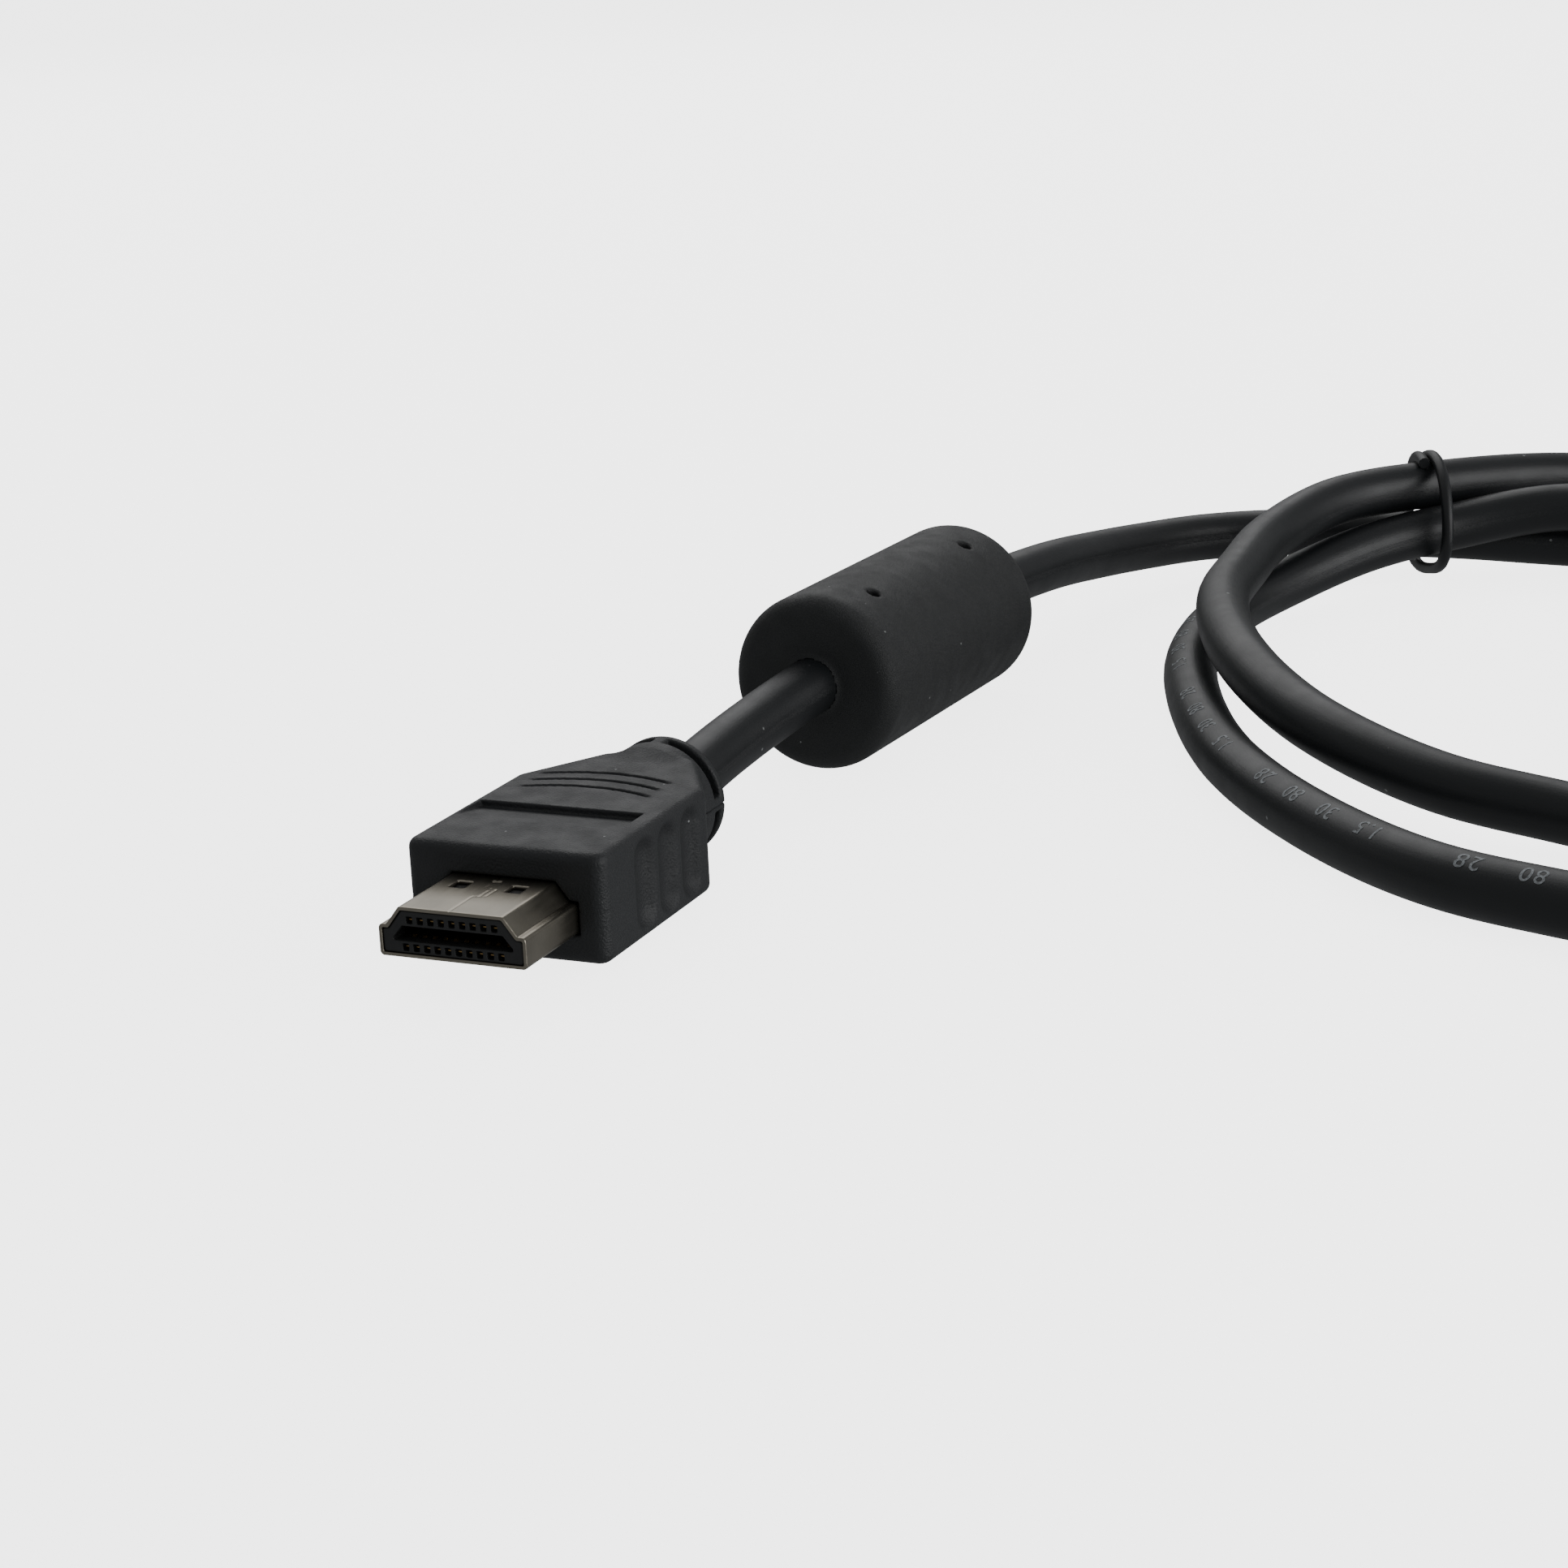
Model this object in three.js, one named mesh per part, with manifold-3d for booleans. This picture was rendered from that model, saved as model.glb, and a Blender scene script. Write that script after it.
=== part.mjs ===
// Video cable with a moulded plug on each end and a ferrite choke, laid in a loose coil of two turns.
// Millimetres, +Z up, floor at z = 0. Plug A points along -Y and its length is centred on the origin.

import * as THREE from 'three';
import { mergeVertices } from 'three/addons/utils/BufferGeometryUtils.js';
import Module from 'manifold-3d';

// Clearances
const GAP = 0.3;
const CONTACT_GAP = 0.1;

// Metal shell of the plug: wide side down, narrow side up
const SHELL_WIDTH = 13.9;
const SHELL_HEIGHT = 4.45;
const SHELL_NARROW_WIDTH = 9.85;
const SHELL_SIDE_HEIGHT = 2.8;
const SHELL_SHOULDER = 0.75;
const SHELL_EXPOSED_LENGTH = 9.3;
const SHELL_BURIED_LENGTH = 6.0;
const SHELL_WALL = 0.33;
const SHELL_CORNER = 0.45;

// Latch holes in the narrow face of the shell
const LATCH_WIDTH = 1.45;
const LATCH_LENGTH = 1.7;
const LATCH_SPACING = 5.3;
const LATCH_FROM_FRONT = 6.0;

// Insulator inside the shell, with the mouth that the socket's tongue enters
const INSULATOR_SETBACK = 0.35;
const MOUTH_HEIGHT = 1.4;
const MOUTH_WIDTH = 10.4;
const MOUTH_NARROW_WIDTH = 9.4;
const MOUTH_CENTRE_Z = -0.15;
const MOUTH_DEPTH = 8.0;

// Contact springs, in two staggered rows
const CONTACTS_LOWER = 10;
const CONTACTS_UPPER = 9;
const CONTACT_PITCH = 1.0;
const CONTACT_WIDTH = 0.42;
const CONTACT_THICKNESS = 0.2;
const CONTACT_LENGTH = 6.6;
const CONTACT_SETBACK = 0.9;
const CONTACT_HUMP = 0.3;
const CONTACT_HUMP_LENGTH = 1.6;
const SLOT_HEIGHT = 0.72;

// Moulded grip
const GRIP_WIDTH = 19.1;
const GRIP_HEIGHT = 9.9;
const GRIP_STRAIGHT_LENGTH = 20.8;
const GRIP_TAPER_LENGTH = 8.0;
const GRIP_REAR_WIDTH = 10.2;
const GRIP_REAR_LENGTH = 0.8;
const GRIP_EDGE = 0.7;
const GRIP_CORNER = 1.2;

// Place for a name plate, left bare, and the shallow arcs behind it
const RECESS_WIDTH = 16.2;
const RECESS_LENGTH = 4.9;
const RECESS_REAR = 12.2;
const RECESS_DEPTH = 0.55;
const ARC_COUNT = 3;
const ARC_PITCH = 2.15;
const ARC_FIRST = 19.4;
const ARC_RADIUS = 15;
const ARC_HALF_WIDTH = 5.8;
const ARC_GROOVE_WIDTH = 0.6;
const ARC_GROOVE_DEPTH = 0.25;

// Finger flutes on both sides of the grip
const FLUTE_COUNT = 3;
const FLUTE_FIRST = 8.0;
const FLUTE_PITCH = 4.6;
const FLUTE_WIDTH = 3.7;
const FLUTE_DEPTH = 0.55;
const FLUTE_TOP_MARGIN = 0.6;

// Strain relief collar behind the grip
const COLLAR_RADIUS = 5.85;
const COLLAR_LENGTH = 3.2;
const COLLAR_FLANGE = 1.0;
const COLLAR_SLOT_LENGTH = 1.2;
const COLLAR_SLOT_DEPTH = 1.5;
const COLLAR_RIBS = 4;
const COLLAR_RIB_WIDTH = 1.3;

// Cable, and the ferrite choke moulded on it
const CABLE_DIAMETER = 5.8;
const CABLE_SIDES = 10;
const CABLE_LEAD_STEPS = 2;
const CABLE_CHOKE_STEPS = 3;
const CABLE_COIL_STEPS = 75;
const CHOKE_DIAMETER = 18.4;
const CHOKE_LENGTH = 37.6;
const CHOKE_EDGE = 2.0;
const CHOKE_FROM_COLLAR = 28.9;
const CHOKE_OFFSET = 2.5;
const CHOKE_TURN = THREE.MathUtils.degToRad(-3.3);
const CHOKE_RUN_OUT = 6;
const PIN_HOLE_DIAMETER = 1.5;
const PIN_HOLE_DEPTH = 1.2;
const PIN_HOLE_SPACING = 23.2;
const PIN_HOLE_TILT = THREE.MathUtils.degToRad(25);

// Thin tie round the back of the coil
const TIE_DIAMETER = 1.4;
const TIE_SIDES = 8;
const TIE_STEPS = 36;

// Colours
const GRIP_BLACK = 0x2d3032;
const JACKET_BLACK = 0x24272a;
const INSULATOR_BLACK = 0x0e0f11;
const NICKEL = 0xb5aea2;
const GOLD = 0xb08a3c;

// Sizes that follow
const GRIP_LENGTH = GRIP_STRAIGHT_LENGTH + GRIP_TAPER_LENGTH + GRIP_REAR_LENGTH;
const PLUG_LENGTH = SHELL_EXPOSED_LENGTH + GRIP_LENGTH + COLLAR_LENGTH;
const PLUG_AXIS_HEIGHT = Math.max(COLLAR_RADIUS, GRIP_HEIGHT / 2);
const CABLE_RADIUS = CABLE_DIAMETER / 2;
const CHOKE_RADIUS = CHOKE_DIAMETER / 2;

const wasm = await Module();
wasm.setup();

// Cable route after the choke, in the row's frame: round the coil twice, then out to plug B
const COIL_POINTS = [
  [7.0, 110.5, 8.4], [8.6, 124.0, 6.9], [11.5, 135.0, 5.8], [16.0, 143.0, 5.3], [22.5, 148.5, 5.0],
  [31.0, 151.5, 4.8], [45.0, 153.2, 4.7], [60.0, 157.0, 3.5], [75.0, 159.5, 2.97], [90.0, 159.5, 2.97],
  [106.0, 158.8, 2.97], [124.0, 156.0, 2.97], [141.5, 150.5, 2.97], [157.0, 141.0, 2.97],
  [169.8, 128.0, 2.97], [179.0, 112.0, 2.97], [184.2, 94.0, 2.97], [185.9, 75.0, 2.97],
  [185.0, 56.0, 2.97], [181.0, 38.0, 2.97], [173.0, 22.0, 2.97], [161.5, 10.0, 2.97],
  [147.5, 3.5, 2.97], [133.0, 2.5, 2.97], [119.0, 6.5, 2.97], [106.0, 12.5, 2.97], [94.0, 17.3, 2.97],
  [83.0, 20.5, 2.97], [72.0, 25.0, 2.97], [59.5, 35.5, 2.97], [45.0, 54.5, 2.97], [33.5, 80.0, 2.97],
  [29.0, 97.0, 2.97], [28.0, 113.5, 3.0], [31.5, 126.5, 4.0], [38.5, 138.5, 6.0], [46.5, 147.0, 7.1],
  [60.0, 152.5, 9.0], [75.0, 151.5, 7.6], [90.0, 149.0, 4.8], [106.0, 146.0, 3.0],
  [121.0, 142.5, 2.97], [136.0, 136.8, 2.97], [149.8, 128.5, 2.97], [161.0, 117.5, 2.97],
  [168.8, 104.0, 2.97], [172.4, 89.0, 2.97], [172.4, 73.5, 2.97], [168.5, 58.5, 2.97],
  [160.5, 45.5, 2.97], [148.5, 36.0, 2.97], [134.0, 31.5, 2.97], [119.5, 32.0, 2.97],
  [106.0, 35.6, 2.97], [92.0, 39.8, 3.2], [79.0, 43.0, 4.0], [67.5, 45.5, 5.2], [54.0, 54.5, 7.1],
  [41.0, 73.0, 8.6], [32.5, 95.5, 9.1], [31.0, 109.0, 9.6], [30.8, 122.6, 10.5], [35.0, 137.7, 11.9],
  [45.2, 151.6, 11.7], [57.5, 166.0, 10.2], [72.0, 171.5, 8.6], [88.0, 173.5, 6.2],
  [104.0, 173.3, 4.4], [119.5, 170.2, 3.8], [133.0, 164.5, 4.9], [143.0, 156.8, 7.6],
  [149.0, 148.0, 9.3], [151.8, 138.5, 9.5], [152.8, 128.5, 9.4], [153.8, 118.5, 8.8],
  [156.5, 108.0, 6.6], [160.0, 97.0, 4.2], [162.0, 85.0, 3.0], [161.2, 72.5, 2.97],
  [157.0, 60.5, 2.97], [149.0, 50.0, 2.97], [138.0, 43.0, 2.97], [125.0, 41.5, 2.97],
  [112.5, 45.0, 2.97], [101.5, 52.0, 2.97], [93.5, 62.0, 3.2], [90.0, 74.0, 4.2], [90.8, 85.0, 5.4],
  [92.6, 92.0, 5.85],
].map((p) => new THREE.Vector3(...p));

// Tie, round the three strands at the back of the coil: distances along, across and up from its centre
const TIE_POINTS = [
  [-0.9, -4.2, 15.6], [-0.9, -0.8, 16.0], [-0.8, 2.8, 14.4], [-0.7, 4.6, 11.2], [-0.5, 6.3, 8.4],
  [-0.4, 7.6, 5.0], [-0.2, 6.3, 1.6], [0, 2.3, 0.75], [0.1, -0.8, 1.1], [0.2, -3.3, 1.7],
  [0.3, -6.6, 2.4], [0.4, -10.2, 4.4], [0.6, -10.8, 7.4], [0.7, -9.6, 10.6], [0.8, -7.2, 13.5],
  [0.9, -4.2, 15.6], [0.9, -0.8, 16.0], [0.9, 2.3, 14.8],
].map((p) => new THREE.Vector3(...p));
const TIE_CENTRE = new THREE.Vector3(42.5, 150.5, 0);
const TIE_TURN = THREE.MathUtils.degToRad(25);

// Booleans on closed meshes
function toSolid(geometry) {
  const bare = geometry.clone();
  bare.deleteAttribute('normal');
  bare.deleteAttribute('uv');
  const merged = mergeVertices(bare, 1e-4);
  return new wasm.Manifold(new wasm.Mesh({
    numProp: 3,
    vertProperties: new Float32Array(merged.attributes.position.array),
    triVerts: new Uint32Array(merged.index.array),
  }));
}

function toGeometry(solid) {
  const mesh = solid.getMesh();
  const geometry = new THREE.BufferGeometry();
  geometry.setAttribute('position', new THREE.BufferAttribute(new Float32Array(mesh.vertProperties), 3));
  geometry.setIndex(new THREE.BufferAttribute(new Uint32Array(mesh.triVerts), 1));
  geometry.computeVertexNormals();
  return geometry;
}

function cut(geometry, tools) {
  return toGeometry(tools.reduce((solid, tool) => solid.subtract(toSolid(tool)), toSolid(geometry)));
}

function fuse(geometry, extra, tools) {
  const whole = toSolid(geometry).add(extra);
  return toGeometry(tools.reduce((solid, tool) => solid.subtract(tool), whole));
}

// Outlines in a plane
function inset(points, distance) {
  const edges = points.map((p, i) => {
    const q = points[(i + 1) % points.length];
    const along = new THREE.Vector2().subVectors(q, p).normalize();
    const inward = new THREE.Vector2(-along.y, along.x);
    return { start: p.clone().addScaledVector(inward, distance), along };
  });
  return edges.map((edge, i) => {
    const before = edges[(i + edges.length - 1) % edges.length];
    const between = new THREE.Vector2().subVectors(edge.start, before.start);
    const reach = between.cross(edge.along) / before.along.cross(edge.along);
    return before.start.clone().addScaledVector(before.along, reach);
  });
}

function rounded(points, radius) {
  const shape = new THREE.Path();
  points.forEach((corner, i) => {
    const before = points[(i + points.length - 1) % points.length];
    const after = points[(i + 1) % points.length];
    const start = corner.clone().add(before.clone().sub(corner).setLength(radius));
    const end = corner.clone().add(after.clone().sub(corner).setLength(radius));
    if (i === 0) shape.moveTo(start.x, start.y);
    else shape.lineTo(start.x, start.y);
    shape.quadraticCurveTo(corner.x, corner.y, end.x, end.y);
  });
  shape.closePath();
  return shape;
}

function mirrored(half) {
  const points = half.map(([x, y]) => new THREE.Vector2(x, y));
  const other = half.map(([x, y]) => new THREE.Vector2(-x, y)).reverse();
  return [...points, ...other];
}

// Shell section, seen from the front: x across, y up, right half from the bottom up
function shellSection() {
  const side = -SHELL_HEIGHT / 2 + SHELL_SIDE_HEIGHT;
  return mirrored([
    [SHELL_WIDTH / 2, -SHELL_HEIGHT / 2],
    [SHELL_WIDTH / 2, side],
    [SHELL_WIDTH / 2 - SHELL_SHOULDER, side],
    [SHELL_NARROW_WIDTH / 2, SHELL_HEIGHT / 2],
  ]);
}

function mouthSection() {
  const low = MOUTH_CENTRE_Z - MOUTH_HEIGHT / 2;
  const high = MOUTH_CENTRE_Z + MOUTH_HEIGHT / 2;
  return mirrored([[MOUTH_WIDTH / 2, low], [MOUTH_WIDTH / 2, MOUTH_CENTRE_Z], [MOUTH_NARROW_WIDTH / 2, high]]);
}

// A section in x and z, drawn out along +Y from y to y + length
function alongPlug(section, y, length) {
  const geometry = new THREE.ExtrudeGeometry(section, { depth: length, bevelEnabled: false, curveSegments: 3 });
  return geometry.rotateX(Math.PI / 2).translate(0, y + length, 0);
}

// A profile in y and z, drawn out across the plug and centred on it
function acrossPlug(profile, width) {
  const geometry = new THREE.ExtrudeGeometry(profile, { depth: width, bevelEnabled: false });
  return geometry.rotateX(Math.PI / 2).rotateZ(Math.PI / 2).translate(-width / 2, 0, 0);
}

function filled(path) {
  return new THREE.Shape(path.getPoints(3).slice(0, -1));
}

function block(width, length, height, x, y, z) {
  return new THREE.BoxGeometry(width, length, height).translate(x, y, z);
}

// Grip, with y = 0 at its front face
function gripBody() {
  const straight = GRIP_STRAIGHT_LENGTH - GRIP_EDGE;
  const half = GRIP_WIDTH / 2 - GRIP_EDGE;
  const rear = GRIP_REAR_WIDTH / 2 - GRIP_EDGE;
  const corners = mirrored([[half, GRIP_EDGE], [half, straight], [rear, GRIP_LENGTH - GRIP_EDGE]]);
  const outline = filled(rounded(corners, GRIP_CORNER));
  const body = new THREE.ExtrudeGeometry(outline, {
    depth: GRIP_HEIGHT - 2 * GRIP_EDGE,
    bevelThickness: GRIP_EDGE,
    bevelSize: GRIP_EDGE,
    bevelSegments: 2,
  });
  return body.translate(0, 0, GRIP_EDGE - GRIP_HEIGHT / 2);
}

function fluteCutters() {
  const radius = (FLUTE_WIDTH ** 2 / 4 + FLUTE_DEPTH ** 2) / (2 * FLUTE_DEPTH);
  const sideOn = Math.sqrt(radius ** 2 - (radius - FLUTE_DEPTH) ** 2);
  const straight = GRIP_HEIGHT - 2 * (FLUTE_TOP_MARGIN + sideOn);
  const flutes = [];
  for (const side of [-1, 1]) {
    for (let i = 0; i < FLUTE_COUNT; i += 1) {
      const flute = new THREE.CapsuleGeometry(radius, straight, 4, 24).rotateX(Math.PI / 2);
      const x = side * (GRIP_WIDTH / 2 + radius - FLUTE_DEPTH);
      flutes.push(flute.translate(x, FLUTE_FIRST + i * FLUTE_PITCH, 0));
    }
  }
  return flutes;
}

function recessCutter() {
  const wedge = new THREE.Shape();
  wedge.moveTo(0, 0);
  wedge.lineTo(RECESS_LENGTH, -RECESS_DEPTH);
  wedge.lineTo(RECESS_LENGTH, 1);
  wedge.lineTo(0, 1);
  return acrossPlug(wedge, RECESS_WIDTH).translate(0, RECESS_REAR - RECESS_LENGTH, GRIP_HEIGHT / 2);
}

function arcCutters() {
  const spread = Math.asin(ARC_HALF_WIDTH / ARC_RADIUS);
  const drop = ARC_RADIUS * Math.cos(spread);
  const cutters = [];
  for (let i = 0; i < ARC_COUNT; i += 1) {
    const arc = new THREE.Shape();
    arc.absarc(0, 0, ARC_RADIUS, Math.PI / 2 - spread, Math.PI / 2 + spread, false);
    arc.absarc(0, 0, ARC_RADIUS - ARC_GROOVE_WIDTH, Math.PI / 2 + spread, Math.PI / 2 - spread, true);
    const groove = new THREE.ExtrudeGeometry(arc, { depth: 1, bevelEnabled: false, curveSegments: 6 });
    const y = ARC_FIRST + i * ARC_PITCH - drop;
    cutters.push(groove.translate(0, y, GRIP_HEIGHT / 2 - ARC_GROOVE_DEPTH));
  }
  return cutters;
}

function ring(inner, outer, y, length, sides = 32) {
  const profile = [[inner, 0], [outer, 0], [outer, length], [inner, length], [inner, 0]];
  const points = profile.map(([r, h]) => new THREE.Vector2(r, h));
  return new THREE.LatheGeometry(points, sides).translate(0, y, 0);
}

function rod(radius, y, length, sides = 32) {
  return new THREE.CylinderGeometry(radius, radius, length, sides).translate(0, y + length / 2, 0);
}

function collarSlots() {
  const bottom = COLLAR_RADIUS - COLLAR_SLOT_DEPTH;
  const start = GRIP_LENGTH + COLLAR_LENGTH - COLLAR_FLANGE - COLLAR_SLOT_LENGTH;
  const groove = toSolid(ring(bottom, COLLAR_RADIUS + 1, start, COLLAR_SLOT_LENGTH));
  let slots = groove;
  for (let i = 0; i < COLLAR_RIBS; i += 1) {
    const rib = block(COLLAR_RIB_WIDTH, COLLAR_LENGTH, COLLAR_RADIUS, 0, start, COLLAR_RADIUS);
    slots = slots.subtract(toSolid(rib.rotateY((i * 2 * Math.PI) / COLLAR_RIBS)));
  }
  return slots;
}

function overmold() {
  const collar = toSolid(rod(COLLAR_RADIUS, GRIP_LENGTH - 0.01, COLLAR_LENGTH + 0.01));
  const neck = toSolid(rod(COLLAR_RADIUS - COLLAR_SLOT_DEPTH, GRIP_LENGTH - GRIP_REAR_LENGTH - 1, 2));
  const pocket = filled(rounded(inset(shellSection(), -GAP), SHELL_CORNER));
  const tools = [
    ...fluteCutters().map(toSolid),
    toSolid(recessCutter()),
    ...arcCutters().map(toSolid),
    collarSlots(),
    toSolid(alongPlug(pocket, -1, SHELL_BURIED_LENGTH + GAP + 1)),
  ];
  return fuse(gripBody(), collar.add(neck), tools);
}

// Shell and insulator, with y = 0 at the shell's open end
function shell() {
  const section = filled(rounded(shellSection(), SHELL_CORNER));
  const hollow = rounded(inset(shellSection(), SHELL_WALL), SHELL_CORNER - SHELL_WALL / 2);
  section.holes.push(new THREE.Path(hollow.getPoints(3).slice(0, -1)));
  const tube = alongPlug(section, 0, SHELL_EXPOSED_LENGTH + SHELL_BURIED_LENGTH);
  const holes = [-1, 1].map((side) => block(
    LATCH_WIDTH, LATCH_LENGTH, SHELL_HEIGHT / 2,
    side * LATCH_SPACING / 2, LATCH_FROM_FRONT + LATCH_LENGTH / 2, SHELL_HEIGHT / 2,
  ));
  return cut(tube, holes);
}

// Rows of contacts: each has its slot next to the mouth, and its spring in the slot
function contactPlaces() {
  const rows = [
    { count: CONTACTS_LOWER, side: -1 },
    { count: CONTACTS_UPPER, side: 1 },
  ];
  return rows.flatMap(({ count, side }) => Array.from({ length: count }, (_, i) => ({
    x: (i - (count - 1) / 2) * CONTACT_PITCH,
    side,
    mouthEdge: MOUTH_CENTRE_Z + side * MOUTH_HEIGHT / 2,
  })));
}

function insulator() {
  const body = filled(rounded(inset(shellSection(), SHELL_WALL + GAP / 2), SHELL_CORNER - SHELL_WALL));
  const length = SHELL_EXPOSED_LENGTH + SHELL_BURIED_LENGTH - INSULATOR_SETBACK;
  const mouth = filled(rounded(mouthSection(), GAP / 2));
  const slotWidth = CONTACT_WIDTH + 2 * CONTACT_GAP;
  const slotLength = CONTACT_SETBACK + CONTACT_LENGTH + CONTACT_GAP;
  const slots = contactPlaces().map(({ x, side, mouthEdge }) => block(
    slotWidth, slotLength + 1, 2 * SLOT_HEIGHT,
    x, INSULATOR_SETBACK - 1 + (slotLength + 1) / 2, mouthEdge,
  ));
  return cut(alongPlug(body, INSULATOR_SETBACK, length), [
    alongPlug(mouth, INSULATOR_SETBACK - 1, MOUTH_DEPTH + 1),
    ...slots,
  ]);
}

// A contact lies on the floor of its slot and bows towards the mouth near its front
function contact({ x, side, mouthEdge }) {
  const seat = SLOT_HEIGHT - CONTACT_GAP;
  const low = seat - CONTACT_THICKNESS;
  const bowed = low - CONTACT_HUMP;
  const y = INSULATOR_SETBACK + CONTACT_SETBACK;
  const bowEnd = y + CONTACT_HUMP_LENGTH;
  const spring = new THREE.Shape([
    [y, seat], [y, low], [y + 0.35 * CONTACT_HUMP_LENGTH, bowed], [y + 0.65 * CONTACT_HUMP_LENGTH, bowed],
    [bowEnd, low], [y + CONTACT_LENGTH, low], [y + CONTACT_LENGTH, seat], [bowEnd, seat],
    [y + 0.65 * CONTACT_HUMP_LENGTH, bowed + CONTACT_THICKNESS],
    [y + 0.35 * CONTACT_HUMP_LENGTH, bowed + CONTACT_THICKNESS],
  ].map(([along, up]) => new THREE.Vector2(along, side * up)));
  return acrossPlug(spring, CONTACT_WIDTH).translate(x, 0, mouthEdge);
}

// Choke, with y = 0 at its front end
function choke() {
  const bore = CABLE_RADIUS + GAP;
  const profile = new THREE.Path();
  profile.moveTo(bore, 0);
  profile.lineTo(CHOKE_RADIUS - CHOKE_EDGE, 0);
  profile.absarc(CHOKE_RADIUS - CHOKE_EDGE, CHOKE_EDGE, CHOKE_EDGE, -Math.PI / 2, 0, false);
  profile.absarc(CHOKE_RADIUS - CHOKE_EDGE, CHOKE_LENGTH - CHOKE_EDGE, CHOKE_EDGE, 0, Math.PI / 2, false);
  profile.lineTo(bore, CHOKE_LENGTH);
  profile.lineTo(bore, 0);
  const body = new THREE.LatheGeometry(profile.getPoints(4), 36);
  const holes = [-1, 1].map((side) => {
    const hole = new THREE.CylinderGeometry(PIN_HOLE_DIAMETER / 2, PIN_HOLE_DIAMETER / 2, 2 * PIN_HOLE_DEPTH, 12);
    hole.rotateX(Math.PI / 2).translate(0, (CHOKE_LENGTH + side * PIN_HOLE_SPACING) / 2, CHOKE_RADIUS);
    return hole.rotateY(PIN_HOLE_TILT);
  });
  return cut(body, holes);
}

// Cable route, straight through the choke
function chokeAxisPoint(distance) {
  return new THREE.Vector3(
    CHOKE_OFFSET - distance * Math.sin(CHOKE_TURN),
    PLUG_LENGTH / 2 + CHOKE_FROM_COLLAR + distance * Math.cos(CHOKE_TURN),
    CHOKE_RADIUS,
  );
}

class CableRoute extends THREE.CatmullRomCurve3 {
  constructor(lead, through, coil) {
    super([...lead, ...through, ...coil], false, 'centripetal');
    const perPoint = 40;
    this.arcLengthDivisions = (this.points.length - 1) * perPoint;
    const lengths = this.getLengths();
    const whole = lengths[lengths.length - 1];
    const entry = lengths[lead.length * perPoint] / whole;
    const exit = lengths[(lead.length + through.length - 1) * perPoint] / whole;
    this.stretches = [
      { steps: CABLE_LEAD_STEPS, from: 0, to: entry },
      { steps: CABLE_CHOKE_STEPS, from: entry, to: exit },
      { steps: CABLE_COIL_STEPS, from: exit, to: 1 },
    ];
    this.steps = CABLE_LEAD_STEPS + CABLE_CHOKE_STEPS + CABLE_COIL_STEPS;
  }

  // Steps are even within each stretch, and the choke's ends fall on a step
  getUtoTmapping(u, distance) {
    let left = u * this.steps;
    for (const { steps, from, to } of this.stretches) {
      if (left <= steps) return super.getUtoTmapping(from + (to - from) * (left / steps), distance);
      left -= steps;
    }
    return 1;
  }
}

function cableRoute() {
  const start = PLUG_LENGTH / 2 + GAP;
  const entry = chokeAxisPoint(0);
  const slope = (entry.z - PLUG_AXIS_HEIGHT) / (entry.y - start);
  const lead = [0, 0.35, 0.7].map((share) => new THREE.Vector3(
    share * share * entry.x,
    start + share * (entry.y - start),
    PLUG_AXIS_HEIGHT + share * slope * (entry.y - start),
  ));
  const through = [0, 0.5, 1].map((share) => chokeAxisPoint(share * CHOKE_LENGTH));
  return new CableRoute(lead, [...through, chokeAxisPoint(CHOKE_LENGTH + CHOKE_RUN_OUT)], COIL_POINTS);
}

function roundSection(radius, sides) {
  return new THREE.Shape(Array.from({ length: sides }, (_, i) => new THREE.Vector2(
    radius * Math.cos((2 * Math.PI * i) / sides),
    radius * Math.sin((2 * Math.PI * i) / sides),
  )));
}

function tube(path, radius, sides, steps) {
  return new THREE.ExtrudeGeometry(roundSection(radius, sides), { steps, extrudePath: path });
}

// Materials
const plastic = (color, roughness) => new THREE.MeshStandardMaterial({ color, roughness, metalness: 0 });
const metal = (color, roughness) => new THREE.MeshStandardMaterial({ color, roughness, metalness: 1 });

function piece(name, geometry, material) {
  const mesh = new THREE.Mesh(geometry, material);
  mesh.name = name;
  return mesh;
}

// A plug with its front at y = 0 and its axis on z = 0
function plug(name) {
  const group = new THREE.Group();
  const grip = piece(`${name}_overmold`, overmold(), plastic(GRIP_BLACK, 0.6));
  grip.position.y = SHELL_EXPOSED_LENGTH;
  group.add(grip);
  group.add(piece(`${name}_shell`, shell(), metal(NICKEL, 0.3)));
  group.add(piece(`${name}_insulator`, insulator(), plastic(INSULATOR_BLACK, 0.5)));
  contactPlaces().forEach((place, i) => {
    const number = String(i + 1).padStart(2, '0');
    group.add(piece(`${name}_contact_${number}`, contact(place), metal(GOLD, 0.3)));
  });
  return group;
}

const cable = new THREE.Group();

const plugA = plug('plug_a');
plugA.position.set(0, -PLUG_LENGTH / 2, PLUG_AXIS_HEIGHT);
cable.add(plugA);

const route = cableRoute();
cable.add(piece('cable', tube(route, CABLE_RADIUS, CABLE_SIDES, route.steps), plastic(JACKET_BLACK, 0.45)));

const ferriteChoke = piece('ferrite_choke', choke(), plastic(GRIP_BLACK, 0.5));
ferriteChoke.position.copy(chokeAxisPoint(0));
ferriteChoke.rotation.z = CHOKE_TURN;
cable.add(ferriteChoke);

const tiePath = new THREE.CatmullRomCurve3(TIE_POINTS, false, 'centripetal');
const tie = piece('wire_tie', tube(tiePath, TIE_DIAMETER / 2, TIE_SIDES, TIE_STEPS), plastic(JACKET_BLACK, 0.5));
tie.position.copy(TIE_CENTRE);
tie.rotation.z = TIE_TURN;
cable.add(tie);

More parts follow.
